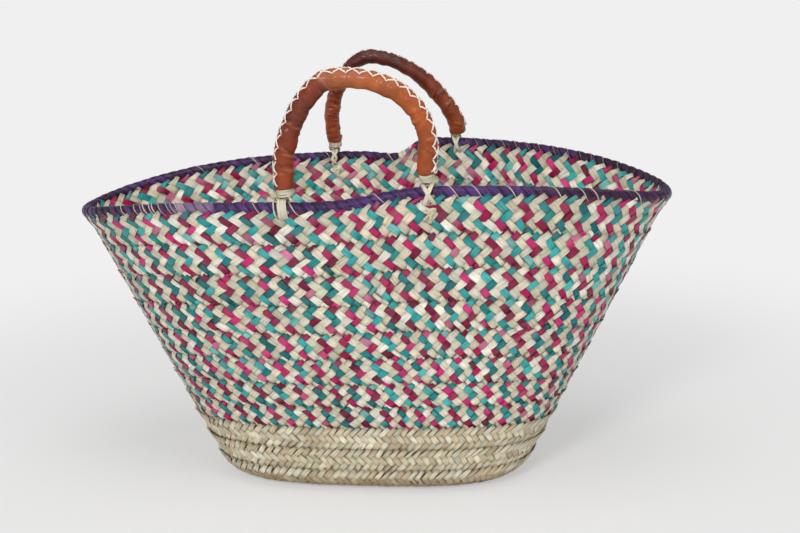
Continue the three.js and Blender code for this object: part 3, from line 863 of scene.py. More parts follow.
@dataclass
class Plait:
    """One turn of plait: floats over two strips and under two, outside and inside, over a core painted dark
    as the shade seen in the gaps.

    A cell is a diamond as wide as the pitch. A float covers one or two cells along its strip. Its place is
    its cells' centre, plus its length times the strip's step of half a pitch across and one cell row down,
    plus its width times the crossing strip's step. The rake narrows the first step across and lengthens the
    second one down alike, so that the floats stand steeper and still fill the band.
    """

    surface: BandSurface
    rows: tuple[FloatRow, ...]
    pitch: float
    dyed: bool
    seed: int
    outer_lift: tuple[float, float, float] = (0.15, 0.5, 0.15)
    inner_lift: tuple[float, float, float] = (0.2, 0.3, 0.2)
    brown_from: tuple[float, float] = (2.0, 3.0)
    steepness: float = 0.93
    unevenness: float = 1.0
    columns: int = field(init=False)
    cell_rows: int = field(init=False)

    ALONG = 8
    ACROSS = (-1.0, -0.985, -0.5, 0.5, 0.985, 1.0)
    TUCK = 0.3
    THICKNESS = 4.0
    CROWN = 0.55
    DIVE = 1.9
    SKIRT = 0.9
    TOP_CURL = 12.0
    CORE_LIFTS = (-1.45, -2.55)
    CORE_LEVELS = (0.0, 0.25, 0.5, 0.75, 1.0)
    LEFT_OPENING = 0.07
    WAVE_SIZE = 0.045
    WAVE_TURNS = (5, 8, 13)
    MISPLACED_SHARE = 0.025
    NARROW_SHARE = 0.06
    OUTER_FADED_SHARE = 0.1
    INNER_FADED_SHARE = 0.26
    # painted shade at the floats' ends, and painted light that brightens the inner face
    END_SHADOW = 0.36
    INNER_LIGHT = 1.2
    BROWNING = 0.7
    FOOT_BROWN = linear(148, 116, 74)

    def __post_init__(self) -> None:
        """Counts the columns, in fours where the strips' colours repeat in fours."""
        wanted = self.surface.length / self.pitch
        self.columns = int(round(wanted / 4.0)) * 4 if self.dyed else int(round(wanted))
        self.cell_rows = max(row.first + row.cells for row in self.rows)
        self.rake = min(1.0, self.surface.width / self.cell_rows / (0.5 * self.pitch) / self.steepness)
        self.rng = np.random.default_rng(self.seed)
        self.turn = float(self.rng.uniform(0.0, 4.0))
        self.phases = self.rng.uniform(0.0, TAU, 3)
        self.strip_chance = {slant: self.rng.random(self.columns) for slant in Slant}

    def _share(self, x: Array) -> Array:
        """Share of the way round of a column: even, less a wave that opens the left end, plus small waves."""
        share = (x + self.turn) / self.columns
        share = share - self.LEFT_OPENING * self.unevenness * np.sin(TAU * share) / TAU
        waves = sum(np.sin(TAU * turns * share + phase) / turns
                    for turns, phase in zip(self.WAVE_TURNS, self.phases))
        return share + self.WAVE_SIZE * self.unevenness * waves / TAU

    def _dyes(self, slant: Slant, strips: Array, face: Face, run: Array, level: Array) -> Array:
        """Colour of each point of each float: its strip's shade, faded more on some and towards some ends,
        with painted shade where each end dives under and painted light on the inner face.

        Args:
            slant: the floats' slant.
            strips: each float's strip number.
            face: side of the plait.
            run: -1 to 1 along each float, shaped like the points.
            level: 0 to 1 down the band, shaped like the points.

        Returns:
            Linear colours, with a last axis of 3.
        """
        count = len(strips)
        rng = self.rng
        chance = self.strip_chance[slant][strips % self.columns]
        colour = np.zeros((*run.shape, 3))
        order = strips if slant is Slant.FALLING else strips + 1
        kinds = SEQUENCE if self.dyed else (Dye.NATURAL,)
        swapped = (order + 2 * (rng.random(count) < self.MISPLACED_SHARE)) % len(kinds)
        limit = self.OUTER_FADED_SHARE if face is Face.OUTER else self.INNER_FADED_SHARE
        fade = np.where(rng.random(count) < limit, rng.uniform(0.2, 0.75, count),
                        rng.uniform(0.0, 0.12, count))
        slope = np.where(rng.random(count) < 0.2, rng.uniform(-0.35, 0.35, count), 0.0)
        fading = np.clip(fade[:, None, None] + slope[:, None, None] * run, 0.0, 1.0)
        for place, dye in enumerate(kinds):
            chosen = swapped % len(kinds) == place
            pick = (chance * 97.0 * len(dye.shades)).astype(int) % len(dye.shades)
            shade = dye.shades[pick][:, None, None, :]
            share = fading * (0.55 if dye in (Dye.CREAM, Dye.NATURAL) else 1.0)
            colour[chosen] = mix(shade, dye.faded, share[..., None])[chosen]
        # painted shade towards each float's ends, where it dives under the crossing strips
        shadow = 1.0 - self.END_SHADOW * smooth(np.abs(run), 0.72, 1.12)
        # painted light: the inner face is made brighter than the outer one
        side_light = 1.0 if face is Face.OUTER else self.INNER_LIGHT
        light = rng.normal(1.0, 0.09, (count, 1, 1)).clip(0.78, 1.2) * shadow * side_light
        brown = smooth(level, *self.brown_from) * (0.75 + 0.25 * rng.random((count, 1, 1)))
        return mix(colour * light[..., None], self.FOOT_BROWN, (brown * self.BROWNING)[..., None])

    def _lift(self, level: Array, face: Face) -> Array:
        """Height of the band's own surface at a level: a curve through its top, middle and bottom lifts."""
        top, middle, bottom = self.outer_lift if face is Face.OUTER else self.inner_lift
        curl = self.TOP_CURL * np.maximum(-level, 0.0)
        above = middle + (top - middle) * smooth(0.5 - level, 0.0, 0.5) + curl
        return np.where(level < 0.5, above, middle + (bottom - middle) * smooth(level - 0.5, 0.0, 0.5))

    def _add_floats(self, pile: MeshPile, row: FloatRow, face: Face) -> None:
        """Adds one line of floats on one face.

        Each float is a flat strip that dives under its neighbours at its ends. Its width, tilt, height, bow
        and taper are drawn at random, and its edges turn down.
        """
        slant = row.slant if face is Face.OUTER else row.slant.other
        lean = float(slant.value)
        count = self.columns
        rng = self.rng
        column = np.arange(count)
        top_x = column + 0.5 * (row.first % 2)
        centre_x = top_x + lean * 0.25 * (row.cells - 1)
        centre_y = row.first + 0.5 * row.cells
        half = row.cells / 2.0
        strips = column - row.first // 2 if slant is Slant.FALLING else column + (row.first + 1) // 2
        tooth = row.tooth > 0.0
        reach = half + (row.tooth if tooth else self.TUCK)
        inner = np.linspace(-half + 0.12, half - 0.12, self.ALONG - 4)
        tip = [-reach, -reach + 0.02] if tooth else [-reach, -half - 0.08]
        t = np.concatenate([tip, inner, [half + 0.08, half + self.TUCK]])[None, :, None]
        v = np.array(self.ACROSS)[None, None, :]
        wide = (count, 1, 1)
        pale = ((strips if slant is Slant.FALLING else strips + 1) % 2 == 1)[:, None, None]
        widening = 0.06 * pale - 0.05 * ~pale if self.dyed else -0.09
        width = rng.normal(1.03, 0.06, wide).clip(0.86, 1.2) + widening
        width = np.where(rng.random(wide) < self.NARROW_SHARE, width * rng.uniform(0.5, 0.8, wide), width)
        if row.point < 1.0:
            width = width * mix(0.95, row.point, smooth(-t, -0.45, 0.55 * reach))
        shift = rng.normal(0.0, 0.08, wide)
        taper = 1.0 + rng.normal(0.0, 0.1, wide) * t / half
        across = v * width * taper + shift
        bow = rng.normal(0.0, 0.06, wide) * (1.0 - (t / half) ** 2)
        rake = self.rake * rng.normal(1.2 if row.tooth > 0.6 else 1.0, 0.12, wide)
        x = centre_x[:, None, None] + 0.5 * lean * (rake * t - 0.5 * (across + bow))
        y = centre_y + t + 0.5 / self.rake * (across + bow)
        x, y, t_all, v_all = np.broadcast_arrays(x, y, t, v)
        level = y / self.cell_rows
        crown = self.CROWN * (1.0 - 0.6 * np.minimum(np.abs(t_all / half), 1.0) ** 2)
        dive = smooth(t_all, half - 0.2, half + self.TUCK) * self.DIVE
        dive = dive + ((t_all <= -reach + 1e-6) * 1.1 if tooth
                       else smooth(-t_all, half - 0.2, half + self.TUCK) * self.DIVE)
        skirt = (np.abs(v_all) > 0.99) * self.SKIRT
        roll = rng.normal(0.12, 0.16, wide) * v_all
        rise = rng.normal(0.0, 0.12, wide) + roll + rng.normal(0.0, 0.1, wide) * t_all
        rise = rise * (0.5 if row.tooth > 0.6 else 1.0)
        lift = crown - dive - skirt - 0.05 * v_all**2 + rise + self._lift(level, face)
        if face is Face.INNER:
            lift = -self.THICKNESS - lift
        points, normals = self.surface.place(self._share(x), level, lift)
        dye = self._dyes(slant, strips, face, t_all / half, level)
        chance = self.strip_chance[slant][strips % count]
        lay = np.zeros(points.shape)
        start = chance * 900.0 + rng.uniform(0.0, 60.0, count)
        lay[..., 0] = t_all * self.pitch * 0.62 + start[:, None, None]
        lay[..., 1] = v_all
        lay[..., 2] = rng.random(count)[:, None, None]
        outward = normals[:, self.ALONG // 2, len(self.ACROSS) // 2] * float(face.value)
        ridge = (np.abs(v_all) > 0.98) & (np.abs(v_all) < 0.99)
        if tooth:
            ridge = ridge | (np.abs(t_all + reach - 0.02) < 1e-6)
        pile.add_patches(points, outward, dye, lay, ridge)

    def _add_core(self, pile: MeshPile) -> None:
        """Adds the middle of the plait: a closed flat ring between the two faces, painted dark as the shade
        seen in the gaps between floats.
        """
        count = self.columns
        share = (np.arange(count) / count)[:, None]
        level = np.array(self.CORE_LEVELS + self.CORE_LEVELS[::-1])[None]
        lift = np.repeat(self.CORE_LIFTS, len(self.CORE_LEVELS))[None]
        points, _ = self.surface.place(share, level, np.broadcast_to(lift, (count, lift.size)))
        # the core's dark colour is painted shade
        dye = np.broadcast_to(Dye.SHADOW.shades[0 if self.dyed else 1], points.shape)
        lay = np.zeros(points.shape)
        lay[..., 0] = np.arange(count)[:, None] * self.pitch
        lay[..., 1] = np.linspace(-1.0, 1.0, lift.size)[None]
        pile.add_tube(points, dye, lay, closed=True)

    def build(self, name: str) -> bpy.types.Object:
        """Makes the turn's mesh with both faces and the core."""
        pile = MeshPile()
        for face in Face:
            for row in self.rows:
                self._add_floats(pile, row, face)
        self._add_core(pile)
        return pile.build(name)


@dataclass
class PlaitedBody:
    """The basket's plaited floor and wall, with the twine in its seams."""

    finishes: Finishes
    form: WallForm = field(default_factory=WallForm)
    dyed_pitch: tuple[float, float] = (8.9, 9.9)
    natural_pitch: float = 7.0
    floor_turns: int = 3
    twine_radius: float = 0.8
    foot_brown: tuple[float, float] = (0.12, 0.35)
    floor_brown: tuple[float, float] = (-2.0, -1.0)

    NATURAL_LIFT = (1.5, 0.25, -0.7)
    COLOURED_LIFT = (0.75, 0.4, -0.3)
    TOP_LIFTS = ((3.2, 0.5, -0.3), (3.2, 0.3, 0.0))
    FLOOR_LIFTS = ((0.3, 0.3, 0.1), (0.1, 0.1, 0.1))
    CENTRE_LIFTS = ((0.2, 0.2, 0.1), (0.1, 0.1, 0.1))
    NATURAL_STEEPNESS = 0.85
    FLOOR_GAP = 0.3
    TWINE_SPACING = 2.2
    TWINE_TWIST = 9.0
    TWINE_DEPTH = -3.5
    TWINE_SIDES = 8
    TWINE = linear(176, 156, 112)

    def build_wall(self) -> None:
        """Makes each row of the wall, from the foot up."""
        low = 0.0
        for index, height in enumerate(self.form.row_heights):
            high = low + float(height)
            band = WallBand(self.form, low, high)
            if index < self.form.natural_rows:
                rows = FOOT_ROWS if index == 0 else NATURAL_ROWS
                brown = self.foot_brown if index == 0 else Plait.brown_from
                plait = Plait(band, rows, self.natural_pitch, False, 100 + index, self.NATURAL_LIFT,
                              brown_from=brown, steepness=self.NATURAL_STEEPNESS)
                name, node = f"plaited_natural_row_{index + 1}", f"natural_plait_row_{index + 1}"
                material, slot = self.finishes.natural, "natural_plait"
            else:
                place = index + 1 - self.form.natural_rows
                pitch = mix(*self.dyed_pitch, (place - 1) / (self.form.coloured_rows - 1))
                if place == self.form.coloured_rows:
                    plait = Plait(band, TOP_ROWS, pitch, True, 200 + index, *self.TOP_LIFTS)
                else:
                    plait = Plait(band, COLOURED_ROWS, pitch, True, 200 + index, self.COLOURED_LIFT)
                name, node = f"plaited_coloured_row_{place}", f"coloured_plait_row_{place}"
                material, slot = self.finishes.coloured, "coloured_plait"
            settle(plait.build(name), material, "basket", (node,))
            low = high

    def build_floor(self) -> None:
        """Makes the floor's turns of undyed plait and its centre."""
        half = self.form.floor_half_width - self.form.turn_under
        unit_width = half / (2 * self.floor_turns + 1)
        for turn in range(1, self.floor_turns + 1):
            ring = FloorRing(self.form, (turn - 1) * 2 * unit_width + self.FLOOR_GAP, turn * 2 * unit_width)
            plait = Plait(ring, NATURAL_ROWS, self.natural_pitch, False, 300 + turn, *self.FLOOR_LIFTS,
                          self.floor_brown)
            number = self.floor_turns + 1 - turn
            piece = plait.build(f"plaited_floor_turn_{number}")
            settle(piece, self.finishes.natural, "basket", (f"floor_plait_turn_{number}",))
        centre = FloorRing(self.form, self.floor_turns * 2 * unit_width + self.FLOOR_GAP, half - 1.0)
        plait = Plait(centre, CENTRE_ROWS, self.natural_pitch, False, 310, *self.CENTRE_LIFTS,
                      self.floor_brown)
        settle(plait.build("plaited_floor_centre"), self.finishes.natural, "basket",
               ("floor_centre_plait",))

    def build_twine(self) -> None:
        """Makes the twine in each seam: a two-lobed tube that turns as it goes, just under the inner face."""
        heights = np.cumsum(self.form.row_heights)[:-1]
        for number, height in enumerate(heights, start=1):
            band = WallBand(self.form, float(height) - 1.0, float(height) + 1.0)
            count = int(band.length / self.TWINE_SPACING)
            share = np.arange(count) / count
            wander = 0.25 * np.sin(share * TAU * 37.0 + number)
            path, normal = band.place(share, 0.5 + wander / 2.0, np.full(count, self.TWINE_DEPTH))
            twist = share * TAU * round(band.length / self.TWINE_TWIST)
            turn = np.arange(self.TWINE_SIDES) / self.TWINE_SIDES * TAU
            radius = self.twine_radius * (1.0 + 0.28 * np.cos(2.0 * (turn[None] - twist[:, None])))
            tangent = unit(np.roll(path, -1, axis=0) - np.roll(path, 1, axis=0))
            side = unit(np.cross(normal, tangent))
            rings = round_rings(path, side, normal, radius, turn)
            lay = strip_lay(path, self.TWINE_SIDES, 0.37 * number % 1.0)
            pile = MeshPile()
            pile.add_tube(rings, self.TWINE, lay, closed=True)
            piece = pile.build(f"seam_twine_{number}")
            settle(piece, self.finishes.twine, "basket", (f"sewing_twine_{number}",))

    def build(self) -> None:
        """Makes the floor, the wall and the twine."""
        self.build_floor()
        self.build_wall()
        self.build_twine()


# Rim


@dataclass
class WhippedRim:
    """The rim: a bundle of palm on the wall's edge, whipped with purple raffia, open where the band ends."""

    finishes: Finishes
    form: WallForm = field(default_factory=WallForm)
    core_radius: float = 3.2
    outer_radius: float = 5.2
    gap_place: float = 22.0
    gap_length: float = 18.0
    wrap_pitch: float = 10.6
    wrap_slant: float = 0.85
    wrap_puff: float = 1.0
    pale_from: float = -168.0
    pale_to: float = -134.0

    SAMPLES = 7201
    ARC_RANGE = (-32.0, 212.0)
    ARC_POINTS = 15
    SKIRT = ((2.2, -10.2), (2.75, -9.2), (3.15, -7.4), (3.75, -5.2))
    WRAP_PLACES = (0.03, 0.12, 0.28, 0.45, 0.62, 0.78, 0.9, 0.97, 1.0)
    INNER_SHARE = 0.86
    INNER_LOW = -9.6
    GAP_SHRINK = (0.86, 0.9)
    GAP_SHADES = (Dye.CREAM.shades[0], Dye.CREAM.shades[3], Dye.TEAL.shades[2], Dye.CREAM.shades[2],
                  Dye.CREAM.shades[1])
    GAP_SPACING = 4.1
    GAP_HALF_WIDTH = 2.35
    BUNDLE = linear(214, 203, 164)
    TONES = ((54, 20, 66), (62, 26, 82), (44, 14, 54), (72, 36, 100), (58, 20, 60))
    # pale front-left wraps: partly faded raffia, partly a painted highlight
    FADED = linear(196, 166, 186)
    VIOLET = linear(84, 50, 134)
    # painted highlight on the whipping's upper side
    UPPER = linear(116, 84, 140)
    DUSK = (0.62, 0.4, 0.5)
    DUSK_RANGE = (90.0, 260.0)
    FRONT_STRANDS = (-231, -216, -209, -206, -199, -196, -189, -180.5, -176.5, -171, -93, -58, 22,
                     88, 109, 140, 181, 204, 215, 255)
    BACK_STRANDS = (-206, -150, -70, -2, 84, 94, 106, 124, 138, 150, 163, 179, 194, 207, 219, 231, 246)

    def __post_init__(self) -> None:
        """Measures the rim, and finds where the whipping starts and ends."""
        self.angles = np.linspace(0.0, TAU, self.SAMPLES)
        self.ring, _, _ = self.form.rim(self.angles)
        self.shares, self.length = length_shares(self.ring)
        back = (self.ring[:, 1] > 0.0) & (np.abs(self.ring[:, 0]) < 200.0)
        order = np.argsort(self.ring[back, 0])
        xs, shares = self.ring[back, 0][order], self.shares[back][order]
        self.start = float(np.interp(self.gap_place - self.gap_length / 2, xs, shares))
        self.end = 1.0 + float(np.interp(self.gap_place + self.gap_length / 2, xs, shares))

    def frame(self, share: Array) -> tuple[Array, Array, Array]:
        """Core centre, outward normal and upward direction at a share of the way round."""
        turns = np.floor(share)
        return self.form.rim(np.interp(share - turns, self.shares, self.angles))

    def share_at(self, x: float, front: bool) -> float:
        """Share of the way round where the rim passes an x on the front or back."""
        side = (self.ring[:, 1] < 0.0) if front else (self.ring[:, 1] > 0.0)
        near = np.where(side, np.abs(self.ring[:, 0] - x), np.inf)
        return float(self.shares[int(np.argmin(near))])

    def profile(self) -> tuple[Array, Array]:
        """The sleeve's outline in (normal, up): up one side of the wall, over the core and down the other.

        Returns:
            Outline points, and the outline's own outward directions.
        """
        arc = np.radians(np.linspace(*self.ARC_RANGE, self.ARC_POINTS))
        round_part = np.stack([np.cos(arc), np.sin(arc)], axis=1) * self.outer_radius
        skirt = np.array(self.SKIRT)
        outline = np.concatenate([skirt, round_part, (skirt * [-1.0, 1.0])[::-1]])
        step = np.gradient(outline, axis=0)
        return outline, unit(np.stack([step[:, 1], -step[:, 0]], axis=1))

    def build_core(self) -> None:
        """Makes the bundle in the rim: a tube whose radius ripples in seven slowly twisting strands."""
        count, sides = 420, 21
        share = np.arange(count) / count
        centre, normal, up = self.frame(share)
        turn = np.arange(sides) / sides * TAU
        radius = self.core_radius * (0.94 + 0.08 * np.cos(7.0 * turn[None] + 40.0 * TAU * share[:, None]))
        rings = round_rings(centre, normal, up, radius, turn)
        lay = strip_lay(centre, sides, 0.2)
        pile = MeshPile()
        pile.add_tube(rings, self.BUNDLE, lay, closed=True)
        settle(pile.build("rim_palm_bundle"), self.finishes.core, "basket", ("rim_core",))

    def build_whipping(self) -> None:
        """Makes the raffia: wrap lines slant across the outline, and each wrap swells between two grooves.

        The swell is the puff times 1 less the distance from the wrap's middle to the power of 3.5, plus a
        lean that lets each wrap's far edge ride on the next.
        """
        rng = np.random.default_rng(41)
        outline, facing = self.profile()
        whole = (self.end - self.start) * self.length
        wraps = int(round(whole / self.wrap_pitch))
        phase = np.concatenate([[0.0], (np.arange(wraps)[:, None] + np.array(self.WRAP_PLACES)).ravel()])
        index = np.minimum(np.maximum(np.ceil(phase) - 1, 0), wraps - 1).astype(int)
        part = phase - index
        arc = arc_lengths(outline)
        drift = -(arc - arc.mean()) * self.wrap_slant
        drift_share = drift / self.length
        ease = np.minimum(1.0, np.minimum(phase, wraps - phase) / 2.5)
        even_share = self.start + (self.end - self.start) * phase[:, None] / wraps
        share = even_share + drift_share[None] * ease[:, None]
        centre, normal, up = self.frame(share)
        swell = self.wrap_puff * (1.0 - np.abs(2.0 * part - 1.0) ** 3.5) + 0.28 * part
        lift = rng.normal(0.0, 0.12, wraps)[index] + swell - 0.15
        skirt = smooth(-outline[:, 1], 5.0, 10.2)
        height = lift[:, None] * (1.0 - 0.75 * skirt)[None]
        offset = outline[None] + facing[None] * height[..., None]
        points = centre + normal * offset[..., :1] + up * offset[..., 1:]
        tone = np.array([linear(*shade) for shade in self.TONES])
        # painted shade: each wrap lighter in its middle and darker towards its grooves, as light falls on its
        # swell
        painted_wrap_shade = 0.62 + 0.6 * (1.0 - np.abs(2.0 * part - 1.0) ** 2)
        picked = tone[rng.integers(0, len(tone), wraps)][index]
        dye = picked[:, None] * painted_wrap_shade[:, None, None] * np.ones(points.shape)
        x, y = points[..., 0], points[..., 1]
        # pale wraps at the front left, kept to the upper side: partly faded raffia, partly a painted
        # highlight
        faded = (y < 0.0) * smooth(x, self.pale_from - 6.0, self.pale_from)
        faded = faded * (1.0 - smooth(x, self.pale_to, self.pale_to + 6.0))
        faded = faded * smooth(offset[..., 1], -5.0, 1.0)
        faded = faded * rng.uniform(0.25, 0.8, wraps)[index][:, None]
        dye = mix(dye, self.FADED, faded[..., None])
        # front wraps blended towards a lighter violet: partly the raffia's own varied tone, partly painted
        # sheen
        violet_and_sheen = (y < 0.0) * smooth(x, -170.0, -150.0) * (1.0 - smooth(x, 120.0, 230.0))
        violet_and_sheen = violet_and_sheen * rng.uniform(0.05, 0.4, wraps)[index][:, None]
        dye = mix(dye, self.VIOLET, violet_and_sheen[..., None])
        # painted highlight: the upper side of the whipping lighter, as satin sheen lit from above
        upper_sheen = smooth(offset[..., 1], -2.0, 5.0) * rng.uniform(0.0, 0.2, wraps)[index][:, None]
        dye = mix(dye, self.UPPER, upper_sheen[..., None])
        dusk = mix(np.ones(3), np.array(self.DUSK), smooth(x, *self.DUSK_RANGE)[..., None])
        dye = dye * dusk
        lay = np.zeros(points.shape)
        lay[..., 0] = arc[None] + (rng.random(wraps) * 400.0)[index][:, None]
        lay[..., 1] = (2.0 * part - 1.0)[:, None]
        lay[..., 2] = rng.random(wraps)[index][:, None]
        inner = centre[:, ::-1] + normal[:, ::-1] * (outline * self.INNER_SHARE)[None, ::-1, :1]
        inner = inner + up[:, ::-1] * np.maximum(outline[None, ::-1, 1:], self.INNER_LOW)
        rings = np.concatenate([points, inner], axis=1)
        pile = MeshPile()
        # the sleeve's inner side takes the dye at half: painted shade
        pile.add_tube(rings, np.concatenate([dye, dye[:, ::-1] * 0.5], axis=1),
                      np.concatenate([lay, lay[:, ::-1]], axis=1))
        settle(pile.build("rim_raffia_whipping"), self.finishes.raffia, "basket",
               ("rim_binding",))

    def build_pale_strands(self) -> None:
        """Makes the thin undyed strands that lie over the whipping here and there, along its slant."""
        rng = np.random.default_rng(57)
        outline, facing = self.profile()
        arc = arc_lengths(outline)
        spots = [(x, True) for x in self.FRONT_STRANDS] + [(x, False) for x in self.BACK_STRANDS]
        pile = MeshPile()
        for x, front in spots:
            chosen = slice(3, 16) if front else slice(5, len(outline) - 4)
            drift = -(arc - arc.mean()) * (self.wrap_slant + rng.uniform(-0.08, 0.1)) / self.length
            share = self.share_at(float(x), front) + drift[chosen]
            centre, normal, up = self.frame(share)
            offset = outline[chosen] + facing[chosen] * 1.3
            path = centre + normal * offset[:, :1] + up * offset[:, 1:]
            outward = normal * facing[chosen][:, :1] + up * facing[chosen][:, 1:]
            width = 0.5 * np.sin(np.linspace(0.25, math.pi - 0.25, len(path))) + 0.1
            faint = not front and x > 80.0
            width = width * rng.uniform(0.6, 1.25) * (0.6 if faint else 1.0)
            rings = strip_rings(path, outward, width, 0.2, 6)
            rosy = faint or (x < -160.0 and rng.random() < 0.4)
            tone = linear(188, 158, 172) if rosy else linear(222, 206, 188)
            pile.add_tube(rings, tone, strip_lay(path, 6, float(rng.random())))
        settle(pile.build("rim_pale_strands"), self.finishes.lashing, "basket")

    def build_gap_strips(self) -> None:
        """Makes the plait's own strips that bend over the bundle where the whipping leaves off.

        Each follows the sleeve's outline drawn in to lie on the bundle, and leans along the rim as it goes. A
        last one climbs aslant along the inner side, up the step of the rim.
        """
        outline, facing = self.profile()
        outline, facing = outline[2:-2] * self.GAP_SHRINK, facing[2:-2]
        arc = arc_lengths(outline)
        pile = MeshPile()
        for number, shade in enumerate(self.GAP_SHADES):
            x = self.gap_place + (number - 2) * self.GAP_SPACING
            sway = 1.6 * np.cos(np.linspace(-math.pi, math.pi, len(arc)))
            lean = (arc - arc.mean()) * (0.35 + 0.08 * number) + sway
            centre, normal, up = self.frame(self.share_at(x, False) - lean / self.length)
            height = 0.35 + 0.4 * (number % 2)
            offset = outline + facing * height
            path = centre + normal * offset[:, :1] + up * offset[:, 1:]
            outward = normal * facing[:, :1] + up * facing[:, 1:]
            rings = strip_rings(path, outward, self.GAP_HALF_WIDTH, 0.3, 8)
            pile.add_tube(rings, shade, strip_lay(path, 8, 0.17 * number))
        climb = np.linspace(0.0, 1.0, 14)
        along = climb * 17.0 - 3.0
        centre, normal, up = self.frame(self.share_at(self.gap_place, False) - along / self.length)
        depth = 3.9 + 0.5 * np.sin(climb * math.pi)
        rise = 0.5 + 3.5 * climb
        path = centre - normal * depth[:, None] + up * rise[:, None]
        rings = strip_rings(path, unit(up - normal), 2.9 - 0.4 * np.abs(climb - 0.5), 0.4, 8)
        pile.add_tube(rings, Dye.MAGENTA.shades[2], strip_lay(path, 8, 0.61))
        settle(pile.build("rim_gap_strips"), self.finishes.coloured, "basket")

    def build(self) -> None:
        """Makes the rim's pieces."""
        self.build_core()
        self.build_whipping()
        self.build_pale_strands()
        self.build_gap_strips()


# Handles


class End(Enum):
    """Which handle."""

    FRONT = -1
    BACK = 1

    @property
    def word(self) -> str:
        """Name used in pieces."""
        return self.name.lower()


@dataclass(frozen=True)
class ArchForm:
    """The curve of one handle, as the CAD part draws it, with its feet moved a little along the rim."""

    left_leg: float
    right_leg: float
    top_height: float
    top_shift: float
    exponent: float
    sway_share: float
    lean_degrees: float
    half_reach: float = 67.0
    leather_start: float = 18.6
    leg_share: float = 0.2
    sway_onset: float = 8.0
    left_shift: float = 0.0
    right_shift: float = 0.0
    shift_height: float = 62.0


FRONT_ARCH = ArchForm(34.0, 34.0, 113.0, -6.5, 2.0, 0.26, 0.0, left_shift=3.6)
BACK_ARCH = ArchForm(26.0, 19.5, 109.0, -15.0, 1.7, 0.0, 12.0, left_shift=2.4, right_shift=2.6)


@dataclass
class HandlePlace:
    """Where a handle stands: its hinge, its own directions and its arch, worked out as the CAD part does."""

    end: End
    middle: Array
    axis: Array
    arch: ArchForm

    SAMPLES = 801
    SHARE_STEP = 0.004

    def __post_init__(self) -> None:
        """Works out the upright, outward, up and out directions, and the centre line's table by length."""
        side = float(self.end.value)
        self.axis = unit(self.axis * np.sign(self.axis[0]))
        self.half_span = self.arch.half_reach / self.axis[0]
        self.upright = unit(np.array([0.0, 0.0, 1.0]) - self.axis * self.axis[2])
        self.outward = unit(np.cross(self.upright, self.axis) * side)
        turn = math.radians(self.arch.lean_degrees)
        self.up = self.upright * math.cos(turn) - self.outward * math.sin(turn)
        self.out = self.outward * math.cos(turn) + self.upright * math.sin(turn)
        self.line = self._curve(np.linspace(0.0, 1.0, self.SAMPLES))
        lengths = arc_lengths(self.line)
        self.line_shares = lengths / lengths[-1]
        self.length = float(lengths[-1])

    def foot(self, hand: int) -> Array:
        """The rim core's centre under the left, -1, or right, 1, foot."""
        return self.middle + self.axis * self.half_span * hand

    def _sway(self, height: Array) -> Array:
        """Sideways lean at a height: it starts gently above the sleeve's end, then grows evenly."""
        above = height - self.arch.leather_start
        return self.arch.sway_share * above**2 / (above + self.arch.sway_onset)

    def _curve(self, run: Array) -> Array:
        """Centre line: a straight leg, a half of a superellipse and a straight leg, leaning to one side.

        Over the legs the height grows evenly. Over the arch it grows by the sine, and the place across by
        the cosine, of a quarter turn from each leg to the top, both to the power of 2 over the exponent.
        """
        arch = self.arch
        left = run < 0.5
        from_end = np.minimum(run, 1.0 - run)
        foot = np.where(left, -self.half_span, self.half_span)
        leg = np.where(left, arch.left_leg, arch.right_leg)
        power = 2.0 / arch.exponent
        turn = np.maximum(0.0, from_end - arch.leg_share) / (0.5 - arch.leg_share) * math.pi / 2
        leg_run = np.minimum(1.0, from_end / arch.leg_share)
        height = arch.leather_start + (leg - arch.leather_start) * leg_run
        height = height + (arch.top_height - leg) * np.sin(turn) ** power
        top = arch.top_shift - self._sway(np.array(arch.top_height))
        across = top + (foot - top) * np.maximum(np.cos(turn), 0.0) ** power + self._sway(height)
        fading = 1.0 - smooth(height, arch.leather_start, arch.shift_height)
        across = across + fading * np.where(left, arch.left_shift, arch.right_shift)
        return self.middle + self.axis * across[:, None] + self.up * height[:, None]

    def centre(self, share: Array) -> Array:
        """Centre line at shares of its length, carried on straight down past either end."""
        held = np.clip(share, 0.0, 1.0)
        line = np.stack([np.interp(held, self.line_shares, self.line[:, k]) for k in range(3)], axis=-1)
        return line - self.up * (np.abs(share - held) * self.length)[..., None]

    def frames(self, share: Array) -> tuple[Array, Array, Array]:
        """Centre, tangent and the direction away from the arch's middle."""
        tangent = unit(self.centre(share + self.SHARE_STEP) - self.centre(share - self.SHARE_STEP))
        away = unit(np.cross(self.out, tangent) * -float(self.end.value))
        return self.centre(share), tangent, away

    def around(self, share: Array, turn: Array, radius: Array) -> Array:
        """Place at a radius from the centre line, at an angle from away towards out."""
        point, _, away = self.frames(share)
        aside = away * (radius * np.cos(turn))[..., None]
        return point + aside + self.out * (radius * np.sin(turn))[..., None]


@dataclass(frozen=True)
class SleeveLook:
    """Sizes and tones of one handle's leather; a radius or tone is paired with its share of the length."""

    radii: tuple[tuple[float, float], ...]
    joint: float
    seam: tuple[float, float]
    neck_radius: float
    tones: tuple[tuple[float, tuple[float, float, float]], ...]
    seed: int
    right_drop: float = 0.0


FRONT_SLEEVE = SleeveLook(
    ((0.0, 9.1), (0.3, 9.2), (0.7, 9.1), (1.0, 8.7)), 0.42, (0.5, 0.5), 6.6,
    ((0.0, (134, 50, 2)), (0.12, (126, 46, 2)), (0.25, (112, 38, 6)),
     (0.4, (120, 44, 12)), (0.425, (158, 82, 42)), (0.5, (162, 86, 46)),
     (0.62, (166, 82, 28)), (0.8, (158, 72, 16)), (1.0, (156, 66, 8))), 71)
